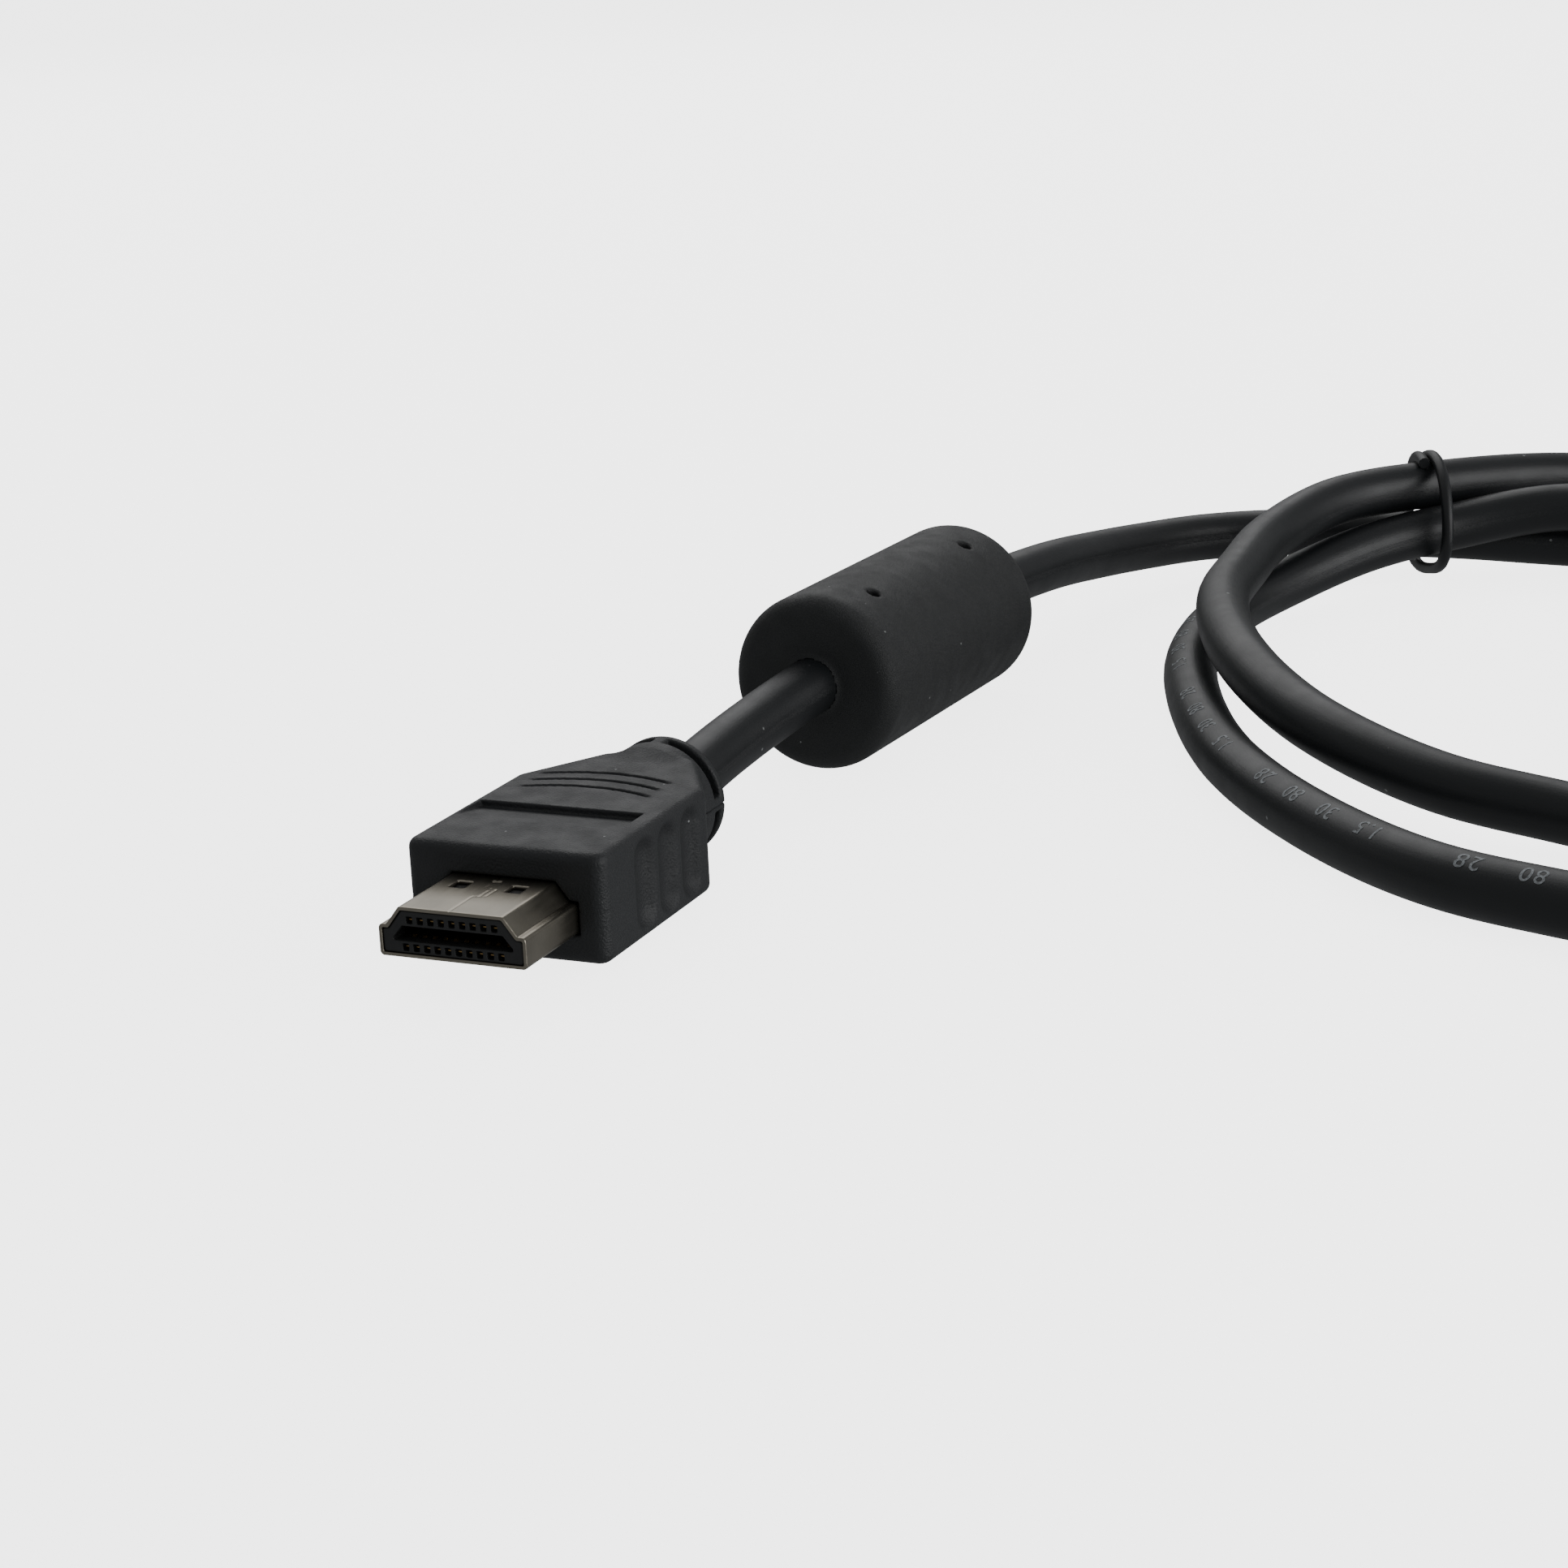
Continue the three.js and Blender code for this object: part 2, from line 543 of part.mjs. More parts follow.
// Plug B lies level at the end of the cable, pointing the way that the cable runs
const end = route.getPoint(1);
const heading = route.getTangent(1).setZ(0).normalize();
const plugB = plug('plug_b');
plugB.rotation.z = Math.atan2(heading.x, -heading.y);
plugB.position.copy(end).addScaledVector(heading, PLUG_LENGTH + GAP).setZ(PLUG_AXIS_HEIGHT);
cable.add(plugB);

export default cable;
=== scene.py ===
# Video cable: two moulded plugs, a ferrite choke and a thin tie, with the lead laid in a loose coil.
# Shapes are worked out in millimetres in the row's frame, and the finished meshes are in metres.

import math
from itertools import product

import bmesh
import bpy
import numpy as np
from mathutils import Euler, Matrix, Vector


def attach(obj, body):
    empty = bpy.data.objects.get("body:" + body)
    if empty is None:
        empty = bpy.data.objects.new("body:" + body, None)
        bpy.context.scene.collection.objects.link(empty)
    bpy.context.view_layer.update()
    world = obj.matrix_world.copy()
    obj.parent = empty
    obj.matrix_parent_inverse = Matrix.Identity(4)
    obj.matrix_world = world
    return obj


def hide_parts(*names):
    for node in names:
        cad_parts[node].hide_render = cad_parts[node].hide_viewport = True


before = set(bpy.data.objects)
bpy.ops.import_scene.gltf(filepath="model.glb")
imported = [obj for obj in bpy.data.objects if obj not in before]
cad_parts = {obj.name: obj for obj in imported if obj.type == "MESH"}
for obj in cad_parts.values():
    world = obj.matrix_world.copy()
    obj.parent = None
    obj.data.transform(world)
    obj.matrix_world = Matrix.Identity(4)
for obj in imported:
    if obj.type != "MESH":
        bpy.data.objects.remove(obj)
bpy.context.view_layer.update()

bl_info = {
    "name": "Video Cable",
    "version": (1, 0, 0),
    "blender": (4, 5, 0),
    "location": "View3D > Sidebar > Video Cable",
    "description": "Builds a coiled video cable with its plugs, choke and tie",
    "category": "Add Mesh",
}

MM = 0.001
BODY = "root"

# Where plug A stands, and how far its collar's rear end is from its nose
PLUG_LENGTH = 42.1
PLUG_AXIS_HEIGHT = 5.85

# Route of the cable's centreline in millimetres
LEAD_POINTS = [(0.0, 21.35, 5.85), (0.306, 31.36, 7.021), (1.225, 41.37, 8.195)]
CHOKE_START = (2.5, 49.95, 9.2)
CHOKE_TURN = -3.3
CHOKE_RUN_OUT = 6.0
COIL_POINTS = [
    (7.0, 110.5, 8.4), (8.6, 124.0, 6.9), (11.5, 135.0, 5.8), (16.0, 143.0, 5.3), (22.5, 148.5, 5.0),
    (31.0, 151.5, 4.8), (45.0, 153.2, 4.7), (60.0, 157.0, 3.5), (75.0, 159.5, 2.97),
    (90.0, 159.5, 2.97), (106.0, 158.8, 2.97), (124.0, 156.0, 2.97), (141.5, 150.5, 2.97),
    (157.0, 141.0, 2.97), (169.8, 128.0, 2.97), (179.0, 112.0, 2.97), (184.2, 94.0, 2.97),
    (185.9, 75.0, 2.97), (185.0, 56.0, 2.97), (181.0, 38.0, 2.97), (173.0, 22.0, 2.97),
    (161.5, 10.0, 2.97), (147.5, 3.5, 2.97), (133.0, 2.5, 2.97), (119.0, 6.5, 2.97),
    (106.0, 12.5, 2.97), (94.0, 17.3, 2.97), (83.0, 20.5, 2.97), (72.0, 25.0, 2.97),
    (59.5, 35.5, 2.97), (45.0, 54.5, 2.97), (33.5, 80.0, 2.97), (29.0, 97.0, 2.97), (28.0, 113.5, 3.0),
    (31.5, 126.5, 4.0), (38.5, 138.5, 6.0), (46.5, 147.0, 7.1), (60.0, 152.5, 9.0), (75.0, 151.5, 7.6),
    (90.0, 149.0, 4.8), (106.0, 146.0, 3.0), (121.0, 142.5, 2.97), (136.0, 136.8, 2.97),
    (149.8, 128.5, 2.97), (161.0, 117.5, 2.97), (168.8, 104.0, 2.97), (172.4, 89.0, 2.97),
    (172.4, 73.5, 2.97), (168.5, 58.5, 2.97), (160.5, 45.5, 2.97), (148.5, 36.0, 2.97),
    (134.0, 31.5, 2.97), (119.5, 32.0, 2.97), (106.0, 35.6, 2.97), (92.0, 39.8, 3.2),
    (79.0, 43.0, 4.0), (67.5, 45.5, 5.2), (54.0, 54.5, 7.1), (41.0, 73.0, 8.6), (32.5, 95.5, 9.1),
    (31.0, 109.0, 9.6), (30.8, 122.6, 10.5), (35.0, 137.7, 11.9), (45.2, 151.6, 11.7),
    (57.5, 166.0, 10.2), (72.0, 171.5, 8.6), (88.0, 173.5, 6.2), (104.0, 173.3, 4.4),
    (119.5, 170.2, 3.8), (133.0, 164.5, 4.9), (143.0, 156.8, 7.6), (149.0, 148.0, 9.3),
    (151.8, 138.5, 9.5), (152.8, 128.5, 9.4), (153.8, 118.5, 8.8), (156.5, 108.0, 6.6),
    (160.0, 97.0, 4.2), (162.0, 85.0, 3.0), (161.2, 72.5, 2.97), (157.0, 60.5, 2.97),
    (149.0, 50.0, 2.97), (138.0, 43.0, 2.97), (125.0, 41.5, 2.97), (112.5, 45.0, 2.97),
    (101.5, 52.0, 2.97), (93.5, 62.0, 3.2), (90.0, 74.0, 4.2), (90.8, 85.0, 5.4), (92.6, 92.0, 5.85),
]

# Tie: distances along, across and up from its centre
TIE_CENTRE = (42.5, 150.5, 0.0)
TIE_TURN = 25.0
TIE_POINTS = [
    (-0.9, -4.0, 15.0), (-0.9, -0.8, 15.45), (-0.8, 2.8, 14.2), (-0.7, 4.6, 11.2), (-0.5, 6.3, 8.4),
    (-0.4, 7.6, 5.0), (-0.2, 6.3, 1.6), (0.0, 2.3, 0.75), (0.1, -0.8, 1.1), (0.2, -3.3, 1.7),
    (0.3, -6.6, 2.4), (0.4, -10.2, 4.4), (0.6, -10.8, 7.4), (0.7, -9.6, 10.6), (0.8, -7.2, 13.5),
    (0.8, -4.2, 15.1), (0.7, -0.8, 15.5), (0.6, 2.0, 14.7),
]


def length(name, millimetres, note):
    return bpy.props.FloatProperty(
        name=name, description=note, default=millimetres * MM, unit="LENGTH", precision=5)


def colour(name, value, note):
    return bpy.props.FloatVectorProperty(
        name=name, description=note, default=value, subtype="COLOR", size=3, min=0, max=1)


class GripSettings(bpy.types.PropertyGroup):
    """Sizes of the moulded grip"""

    width: length("Width", 19.1, "Width of the grip")
    height: length("Height", 9.9, "Height of the grip")
    straight: length("Straight length", 20.8, "Length of the grip before its taper")
    taper: length("Taper length", 8.8, "Length of the grip's tapered rear, its edge included")
    rear_width: length("Rear width", 10.2, "Width of the grip at its rear")
    edge: length("Edge radius", 0.95, "Rounding of the grip's edges")
    recess_width: length("Recess width", 16.2, "Width of the bare recess on top")
    recess_depth: length("Recess depth", 0.7, "Depth of the recess at its rear")
    flute_depth: length("Flute depth", 0.8, "Depth of the finger flutes on the sides")
    collar_radius: length("Collar radius", 5.85, "Radius of the collar behind the grip")
    finish: colour("Colour", (0.019, 0.0207, 0.0222), "Colour of the grips")


class ShellSettings(bpy.types.PropertyGroup):
    """Sizes of the metal shell and what is in it"""

    width: length("Width", 13.9, "Width of the shell's wide side")
    narrow_width: length("Narrow width", 9.85, "Width of the shell's narrow side")
    height: length("Height", 4.45, "Height of the shell")
    side: length("Side height", 2.8, "Height of the shell's upright sides")
    shoulder: length("Shoulder", 0.75, "Width of the ledge above each side")
    length: length("Length", 15.3, "Length of the shell, with the part inside the grip")
    wall: length("Wall", 0.33, "Thickness of the shell's metal")
    contact_pitch: length("Contact pitch", 1.0, "Distance between neighbouring contacts")
    finish: colour("Metal colour", (0.31, 0.285, 0.235), "Colour of the plated shell")
    insulator: colour("Insulator colour", (0.020, 0.0205, 0.021), "Colour of the plastic in the shell")
    contact: colour("Contact colour", (0.36, 0.24, 0.1), "Colour of the contacts")


class LeadSettings(bpy.types.PropertyGroup):
    """Sizes of the cable, the choke and the tie"""

    diameter: length("Cable diameter", 5.8, "Diameter of the cable")
    sides: bpy.props.IntProperty(
        name="Sides", description="Faces round the cable", default=32, min=8, max=64)
    choke_diameter: length("Choke diameter", 18.4, "Diameter of the choke")
    choke_length: length("Choke length", 37.6, "Length of the choke")
    choke_edge: length("Choke edge radius", 2.0, "Rounding of the choke's ends")
    choke_finish: colour("Choke colour", (0.0185, 0.020, 0.0205), "Colour of the choke")
    tie_diameter: length("Tie diameter", 1.4, "Thickness of the tie")
    mark_height: length("Mark height", 1.7, "Height of the numbers on the cable")
    jacket: colour("Jacket colour", (0.0105, 0.012, 0.0133), "Colour of the cable's jacket")
    ink: colour("Ink colour", (0.30, 0.32, 0.335), "Colour of the numbers on the cable")


class StudioSettings(bpy.types.PropertyGroup):
    """Camera, floor and lights"""

    camera: bpy.props.FloatVectorProperty(
        name="Camera", description="Where the camera stands", size=3, unit="LENGTH",
        default=(0.128093, -0.237675, 0.091462))
    turn: bpy.props.FloatProperty(
        name="Turn", description="Turn of the camera to the left", unit="ROTATION",
        default=math.radians(24.1897))
    tilt: bpy.props.FloatProperty(
        name="Tilt", description="How far the camera looks down", unit="ROTATION",
        default=math.radians(16.4251))
    roll: bpy.props.FloatProperty(
        name="Roll", description="Turn of the camera about its own line of sight", unit="ROTATION",
        default=math.radians(-2.6627))
    lens: bpy.props.FloatProperty(
        name="Lens", description="Focal length on a 36 mm wide sensor", default=73.3444, min=1)
    floor: colour("Floor colour", (0.93, 0.93, 0.93), "Colour of the floor")
    glow: bpy.props.FloatProperty(
        name="Glow", description="How bright the floor looks by itself", default=3.5, min=0)
    sky: bpy.props.FloatProperty(
        name="Sky", description="Light that comes from all round", default=0.27, min=0)


# Distances to shapes: numpy fields in millimetres, below zero inside
def field_box(p, centre, half, edge=0.0):
    away = [np.abs(p[i] - centre[i]) - half[i] + edge for i in range(3)]
    outside = np.sqrt(sum(np.maximum(a, 0) ** 2 for a in away))
    return outside + np.minimum(np.maximum(np.maximum(away[0], away[1]), away[2]), 0) - edge


def field_rod(across, along, radius, low, high, edge=0.0):
    side = across - radius + edge
    end = np.maximum(low - along, along - high) + edge
    outside = np.sqrt(np.maximum(side, 0) ** 2 + np.maximum(end, 0) ** 2)
    return outside + np.minimum(np.maximum(side, end), 0) - edge


def field_outline(u, v, corners):
    nearest = np.full(np.broadcast(u, v).shape, 1e9)
    sign = np.ones(nearest.shape)
    for (ax, ay), (bx, by) in zip(corners, corners[-1:] + corners[:-1]):
        ex, ey = bx - ax, by - ay
        wx, wy = u - ax, v - ay
        share = np.clip((wx * ex + wy * ey) / (ex * ex + ey * ey), 0, 1)
        nearest = np.minimum(nearest, (wx - ex * share) ** 2 + (wy - ey * share) ** 2)
        left = ex * wy - ey * wx
        up = (v >= ay) & (v < by) & (left > 0)
        down = (v < ay) & (v >= by) & (left < 0)
        sign = np.where(up | down, -sign, sign)
    return sign * np.sqrt(nearest)


def drawn_out(flat, along, low, high, edge=0.0):
    side = flat + edge
    end = np.maximum(low - along, along - high) + edge
    outside = np.sqrt(np.maximum(side, 0) ** 2 + np.maximum(end, 0) ** 2)
    return outside + np.minimum(np.maximum(side, end), 0) - edge


def joined(a, b, blend=0.0):
    if blend == 0:
        return np.minimum(a, b)
    h = np.clip(0.5 + 0.5 * (b - a) / blend, 0, 1)
    return b + (a - b) * h - blend * h * (1 - h)


def cut(a, b, blend=0.0):
    return -joined(-a, b, blend)


def both_sides(half):
    return half + [(-x, y) for x, y in reversed(half)]


def grown(corners, distance):
    """The outline's corners moved outwards, for an outline that runs anticlockwise"""
    moved = []
    neighbours = zip(corners[-1:] + corners[:-1], corners, corners[1:] + corners[:1])
    for (ax, ay), (bx, by), (cx, cy) in neighbours:
        before = Vector((bx - ax, by - ay)).normalized()
        after = Vector((cx - bx, cy - by)).normalized()
        out = Vector((before.y, -before.x)) + Vector((after.y, -after.x))
        moved.append(tuple(Vector((bx, by)) + out * distance / (1 + before.dot(after))))
    return moved


def moulded(field, low, high, step):
    """Points and four-sided faces of the surface where a field is zero"""
    axes = [np.arange(a - 1.5 * step, b + 2.5 * step, step) for a, b in zip(low, high)]
    values = field(np.meshgrid(*axes, indexing="ij"))
    cells = tuple(n - 1 for n in values.shape)
    count = np.zeros(cells)
    total = np.zeros(cells + (3,))

    def part(start, size):
        return values[tuple(slice(s, s + n) for s, n in zip(start, size))]

    for axis in range(3):
        others = [i for i in range(3) if i != axis]
        for b, c in product((0, 1), repeat=2):
            start = [0, 0, 0]
            start[others[0]], start[others[1]] = b, c
            stop = list(start)
            stop[axis] = 1
            first, last = part(start, cells), part(stop, cells)
            crossed = (first < 0) != (last < 0)
            share = np.where(crossed, first / np.where(crossed, first - last, 1), 0)
            count += crossed
            total[..., axis] += share
            total[..., others[0]] += crossed * b
            total[..., others[1]] += crossed * c
    active = count > 0
    index = np.full(cells, -1)
    index[active] = np.arange(active.sum())
    place = np.argwhere(active) + total[active] / count[active][:, None]
    points = place * step + np.array([axis[0] for axis in axes])

    # Move the points onto the surface, so that it shades evenly
    nudge = step / 20
    for _ in range(2):
        at = list(points.T)
        here = field(at)
        ahead = [field([a + nudge * (i == j) for j, a in enumerate(at)]) for i in range(3)]
        slope = np.stack([f - here for f in ahead], axis=1) / nudge
        move = np.clip(here / np.maximum((slope ** 2).sum(axis=1), 0.3), -step / 3, step / 3)
        points = points - move[:, None] * slope

    faces = []
    for axis in range(3):
        others = [(axis + 1) % 3, (axis + 2) % 3]
        size = list(values.shape)
        size[axis] -= 1
        size[others[0]] -= 2
        size[others[1]] -= 2
        start = [1, 1, 1]
        start[axis] = 0
        stop = list(start)
        stop[axis] = 1
        first, last = part(start, size), part(stop, size)
        for leaving in (True, False):
            hit = np.argwhere((first < 0) & (last >= 0) if leaving else (first >= 0) & (last < 0))
            ring = []
            for b, c in ((0, 0), (1, 0), (1, 1), (0, 1)):
                offset = [0, 0, 0]
                offset[others[0]], offset[others[1]] = b, c
                ring.append(index[tuple((hit + offset).T)])
            ring = np.stack(ring if leaving else ring[::-1], axis=1)
            faces.append(ring)
    return points, np.concatenate(faces)


# Meshes and pieces
def new_mesh(name, points, faces, place=None):
    """A smooth mesh in metres from points in millimetres"""
    mesh = bpy.data.meshes.new(name)
    mesh.from_pydata(np.asarray(points).tolist(), [], np.asarray(faces).tolist())
    mesh.transform((place or Matrix.Identity(4)))
    mesh.transform(Matrix.Scale(MM, 4))
    mesh.polygons.foreach_set("use_smooth", [True] * len(mesh.polygons))
    mesh.update()
    return mesh


def new_piece(name, mesh, material, nodes=()):
    piece = bpy.data.objects.new(name, mesh)
    bpy.context.scene.collection.objects.link(piece)
    mesh.materials.clear()
    mesh.materials.append(material)
    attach(piece, BODY)
    if nodes:
        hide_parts(*nodes)
    return piece


# Routes
def through(points, per_span):
    """Centripetal curve through the points, with the same number of steps in each span"""
    p = [Vector(q) for q in points]
    p = [p[0] * 2 - p[1]] + p + [p[-1] * 2 - p[-2]]
    line = []
    for before, start, end, after in zip(p, p[1:], p[2:], p[3:]):
        pairs = ((before, start), (start, end), (end, after))
        d0, d1, d2 = ((b - a).length ** 0.5 for a, b in pairs)
        leave = ((start - before) / d0 - (end - before) / (d0 + d1) + (end - start) / d1) * d1
        arrive = ((end - start) / d1 - (after - start) / (d1 + d2) + (after - end) / d2) * d1
        for i in range(per_span):
            t = i / per_span
            line.append(start + leave * t + (end * 3 - start * 3 - leave * 2 - arrive) * t ** 2
                        + (start * 2 - end * 2 + leave + arrive) * t ** 3)
    line.append(p[-2])
    return line


def even(line, step):
    """The line's points again, one step apart"""
    at = np.array([tuple(q) for q in line])
    run = np.concatenate([[0], np.cumsum(np.linalg.norm(np.diff(at, axis=0), axis=1))])
    marks = np.linspace(0, run[-1], round(run[-1] / step) + 1)
    return np.stack([np.interp(marks, run, at[:, i]) for i in range(3)], axis=1)


def choke_matrix():
    return Matrix.Translation(CHOKE_START) @ Matrix.Rotation(math.radians(CHOKE_TURN), 4, "Z")


def cable_line(settings):
    size = settings.choke_length / MM
    axis = [choke_matrix() @ Vector((0, d, 0)) for d in (0, size / 2, size, size + CHOKE_RUN_OUT)]
    return through([*LEAD_POINTS, *axis, *COIL_POINTS], 24)


def plug_matrices(settings):
    line = cable_line(settings)
    heading = (line[-1] - line[-2]).xy.normalized()
    nose = line[-1].xy + heading * (PLUG_LENGTH + 0.3)
    turn = Matrix.Rotation(math.atan2(heading.x, -heading.y), 4, "Z")
    return {
        "plug_a": Matrix.Translation((0, -PLUG_LENGTH / 2, PLUG_AXIS_HEIGHT)),
        "plug_b": Matrix.Translation((nose.x, nose.y, PLUG_AXIS_HEIGHT)) @ turn,
    }


# Nodes
class Nodes:
    """A node tree whose nodes are added with their inputs and settings"""

    tree = None

    def add(self, kind, links=None, **values):
        node = self.tree.nodes.new(kind)
        for key, value in values.items():
            setattr(node, key, value)
        for key, value in (links or {}).items():
            if isinstance(value, bpy.types.NodeSocket):
                self.tree.links.new(value, node.inputs[key])
            else:
                node.inputs[key].default_value = value
        return node


class Tree(Nodes):
    """A Geometry Nodes tree with named inputs"""

    def __init__(self, name, inputs):
        self.tree = bpy.data.node_groups.new(name, "GeometryNodeTree")
        self.sockets = {}
        face = self.tree.interface
        for label, kind, default in inputs:
            socket = face.new_socket(label, in_out="INPUT", socket_type="NodeSocket" + kind)
            if default is not None:
                socket.default_value = default
            self.sockets[label] = socket.identifier
        face.new_socket("Geometry", in_out="OUTPUT", socket_type="NodeSocketGeometry")
        self.start = self.tree.nodes.new("NodeGroupInput")

    def finish(self, geometry, material):
        whole = self.add("GeometryNodeRealizeInstances", {"Geometry": geometry})
        painted = self.add(
            "GeometryNodeSetMaterial", {"Geometry": whole.outputs[0], "Material": material})
        end = self.tree.nodes.new("NodeGroupOutput")
        self.tree.links.new(painted.outputs[0], end.inputs[0])

    def applied(self, source, values):
        """The source object's mesh as the tree makes it"""
        modifier = source.modifiers.new("Nodes", "NODES")
        modifier.node_group = self.tree
        for label, value in values.items():
            modifier[self.sockets[label]] = value
        depsgraph = bpy.context.evaluated_depsgraph_get()
        mesh = bpy.data.meshes.new_from_object(source.evaluated_get(depsgraph))
        bpy.data.objects.remove(source)
        return mesh


def swept(name, line, radius, sides, material, step):
    """A round tube along a line, with how far along and how far round as attributes"""
    tree = Tree(name + "_sweep", [
        ("Geometry", "Geometry", None), ("Radius", "Float", 0.001), ("Sides", "Int", 16),
        ("Step", "Float", 0.001)])
    g = tree.start.outputs
    run = tree.add("GeometryNodeMeshToCurve", {"Mesh": g["Geometry"]})
    steps = tree.add(
        "GeometryNodeResampleCurve", {"Curve": run.outputs[0], "Length": g["Step"]}, mode="LENGTH")
    reach = tree.add("GeometryNodeSplineParameter")
    marked = tree.add("GeometryNodeStoreNamedAttribute", {
        "Geometry": steps.outputs[0], "Name": "along", "Value": reach.outputs["Length"]},
        data_type="FLOAT", domain="POINT")
    ring = tree.add(
        "GeometryNodeCurvePrimitiveCircle", {"Resolution": g["Sides"], "Radius": g["Radius"]})
    angle = tree.add("GeometryNodeSplineParameter")
    round_ring = tree.add("GeometryNodeStoreNamedAttribute", {
        "Geometry": ring.outputs[0], "Name": "around", "Value": angle.outputs["Factor"]},
        data_type="FLOAT", domain="POINT")
    tube = tree.add("GeometryNodeCurveToMesh", {
        "Curve": marked.outputs[0], "Profile Curve": round_ring.outputs[0], "Fill Caps": True})
    smooth = tree.add("GeometryNodeSetShadeSmooth", {"Geometry": tube.outputs[0], "Shade Smooth": True})
    tree.finish(smooth.outputs[0], material)
    mesh = bpy.data.meshes.new(name + "_line")
    mesh.from_pydata(
        [[c * MM for c in q] for q in line], [(i, i + 1) for i in range(len(line) - 1)], [])
    source = bpy.data.objects.new(name + "_line", mesh)
    bpy.context.scene.collection.objects.link(source)
    return tree.applied(source, {"Radius": radius * MM, "Sides": sides, "Step": step * MM})


# Materials
class Finish(Nodes):
    """A node material with one Principled shader"""

    def __init__(self, name, base, roughness, **sockets):
        self.material = bpy.data.materials.new(name)
        self.material.use_nodes = True
        self.tree = self.material.node_tree
        self.shader = self.tree.nodes["Principled BSDF"]
        self.base = (*base, 1.0)
        self.shader.inputs["Base Color"].default_value = self.base
        self.shader.inputs["Roughness"].default_value = roughness
        for key, value in sockets.items():
            self.shader.inputs[key.replace("_", " ")].default_value = value
        self.place = self.tree.nodes.new("ShaderNodeTexCoord").outputs["Object"]

    def noise(self, size, detail=3.0, stretch=(1, 1, 1), roughness=0.5):
        """Noise whose grains are about the given size in millimetres"""
        mapping = self.add("ShaderNodeMapping", {"Vector": self.place, "Scale": stretch})
        return self.add("ShaderNodeTexNoise", {
            "Vector": mapping.outputs[0], "Scale": 1 / (size * MM), "Detail": detail,
            "Roughness": roughness}).outputs["Fac"]

    def ramp(self, value, low, high, at=(0.0, 1.0)):
        node = self.add("ShaderNodeValToRGB", {"Fac": value})
        for stop, position, tone in zip(node.color_ramp.elements, at, (low, high)):
            stop.position = position
            stop.color = tone
        return node.outputs["Color"]

    def shades(self, value, dark, light, at=(0.3, 0.7)):
        def tone(share):
            return (*[min(1.0, c * share) for c in self.base[:3]], 1.0)

        colours = self.ramp(value, tone(dark), tone(light), at)
        self.tree.links.new(colours, self.shader.inputs["Base Color"])
        return colours

    def dust(self, base, size, share, tone):
        """Small pale specks over a base colour"""
        cells = self.add("ShaderNodeTexVoronoi", {
            "Vector": self.place, "Scale": 1 / (size * MM), "Randomness": 1.0}, feature="F1")
        near = self.ramp(cells.outputs["Distance"], (1, 1, 1, 1), (0, 0, 0, 1), (0.09, 0.14))
        picked = self.add("ShaderNodeSeparateColor", {"Color": cells.outputs["Color"]})
        chosen = self.add("ShaderNodeMath", {0: picked.outputs[0], 1: share}, operation="LESS_THAN")
        both = self.add("ShaderNodeMath", {0: near, 1: chosen.outputs[0]}, operation="MULTIPLY")
        mix = self.add(
            "ShaderNodeMix", {0: both.outputs[0], 6: base, 7: (*tone, 1.0)}, data_type="RGBA")
        self.tree.links.new(mix.outputs[2], self.shader.inputs["Base Color"])

    def rough(self, value, low, high, at=(0.3, 0.7)):
        spread = self.add("ShaderNodeMapRange", {
            "Value": value, "From Min": at[0], "From Max": at[1], "To Min": low, "To Max": high})
        self.tree.links.new(spread.outputs[0], self.shader.inputs["Roughness"])

    def bump(self, *layers):
        """Layers of (height, depth in millimetres)"""
        normal = None
        for value, depth in layers:
            links = {"Height": value, "Distance": depth * MM, "Strength": 1.0}
            if normal:
                links["Normal"] = normal
            normal = self.add("ShaderNodeBump", links).outputs[0]
        self.tree.links.new(normal, self.shader.inputs["Normal"])


def moulded_plastic(name, base, grain):
    finish = Finish(name, base, 0.55)
    fine = finish.noise(grain, 2.0)
    broad = finish.noise(6.0, 3.0)
    tone = finish.shades(broad, 0.92, 1.1)
    finish.dust(tone, 0.9, 0.055, (0.32, 0.33, 0.33))
    finish.rough(finish.noise(2.5, 3.0), 0.48, 0.62)
    finish.bump((fine, 0.085), (broad, 0.006))
    return finish.material


def jacket_plastic(name, base):
    finish = Finish(name, base, 0.36)
    along = finish.add("ShaderNodeAttribute", attribute_name="along")
    around = finish.add("ShaderNodeAttribute", attribute_name="around")
    turn = finish.add(
        "ShaderNodeMath", {0: around.outputs["Fac"], 1: 2 * math.pi}, operation="MULTIPLY")
    slowed = finish.add("ShaderNodeMath", {0: along.outputs["Fac"], 1: 30.0}, operation="MULTIPLY")
    circle = finish.add("ShaderNodeCombineXYZ", {
        0: finish.add("ShaderNodeMath", {0: turn.outputs[0]}, operation="COSINE").outputs[0],
        1: finish.add("ShaderNodeMath", {0: turn.outputs[0]}, operation="SINE").outputs[0],
        2: slowed.outputs[0]})
    drawn = finish.add("ShaderNodeTexNoise", {
        "Vector": circle.outputs[0], "Scale": 3.0, "Detail": 4.0, "Roughness": 0.55}).outputs["Fac"]
    tone = finish.shades(finish.noise(14.0, 3.0), 0.9, 1.12)
    finish.dust(tone, 1.6, 0.03, (0.25, 0.26, 0.26))
    finish.rough(finish.noise(3.0, 4.0), 0.4, 0.47)
    finish.bump((drawn, 0.03), (finish.noise(0.12, 2.0), 0.012))
    return finish.material


def plated_metal(name, base):
    finish = Finish(name, base, 0.3, Metallic=1.0)
    brushed = finish.noise(0.35, 4.0, (1.0, 0.12, 1.0))
    finish.shades(finish.noise(2.5, 4.0), 0.9, 1.08)
    finish.rough(brushed, 0.29, 0.34)
    finish.bump((brushed, 0.004))
    return finish.material


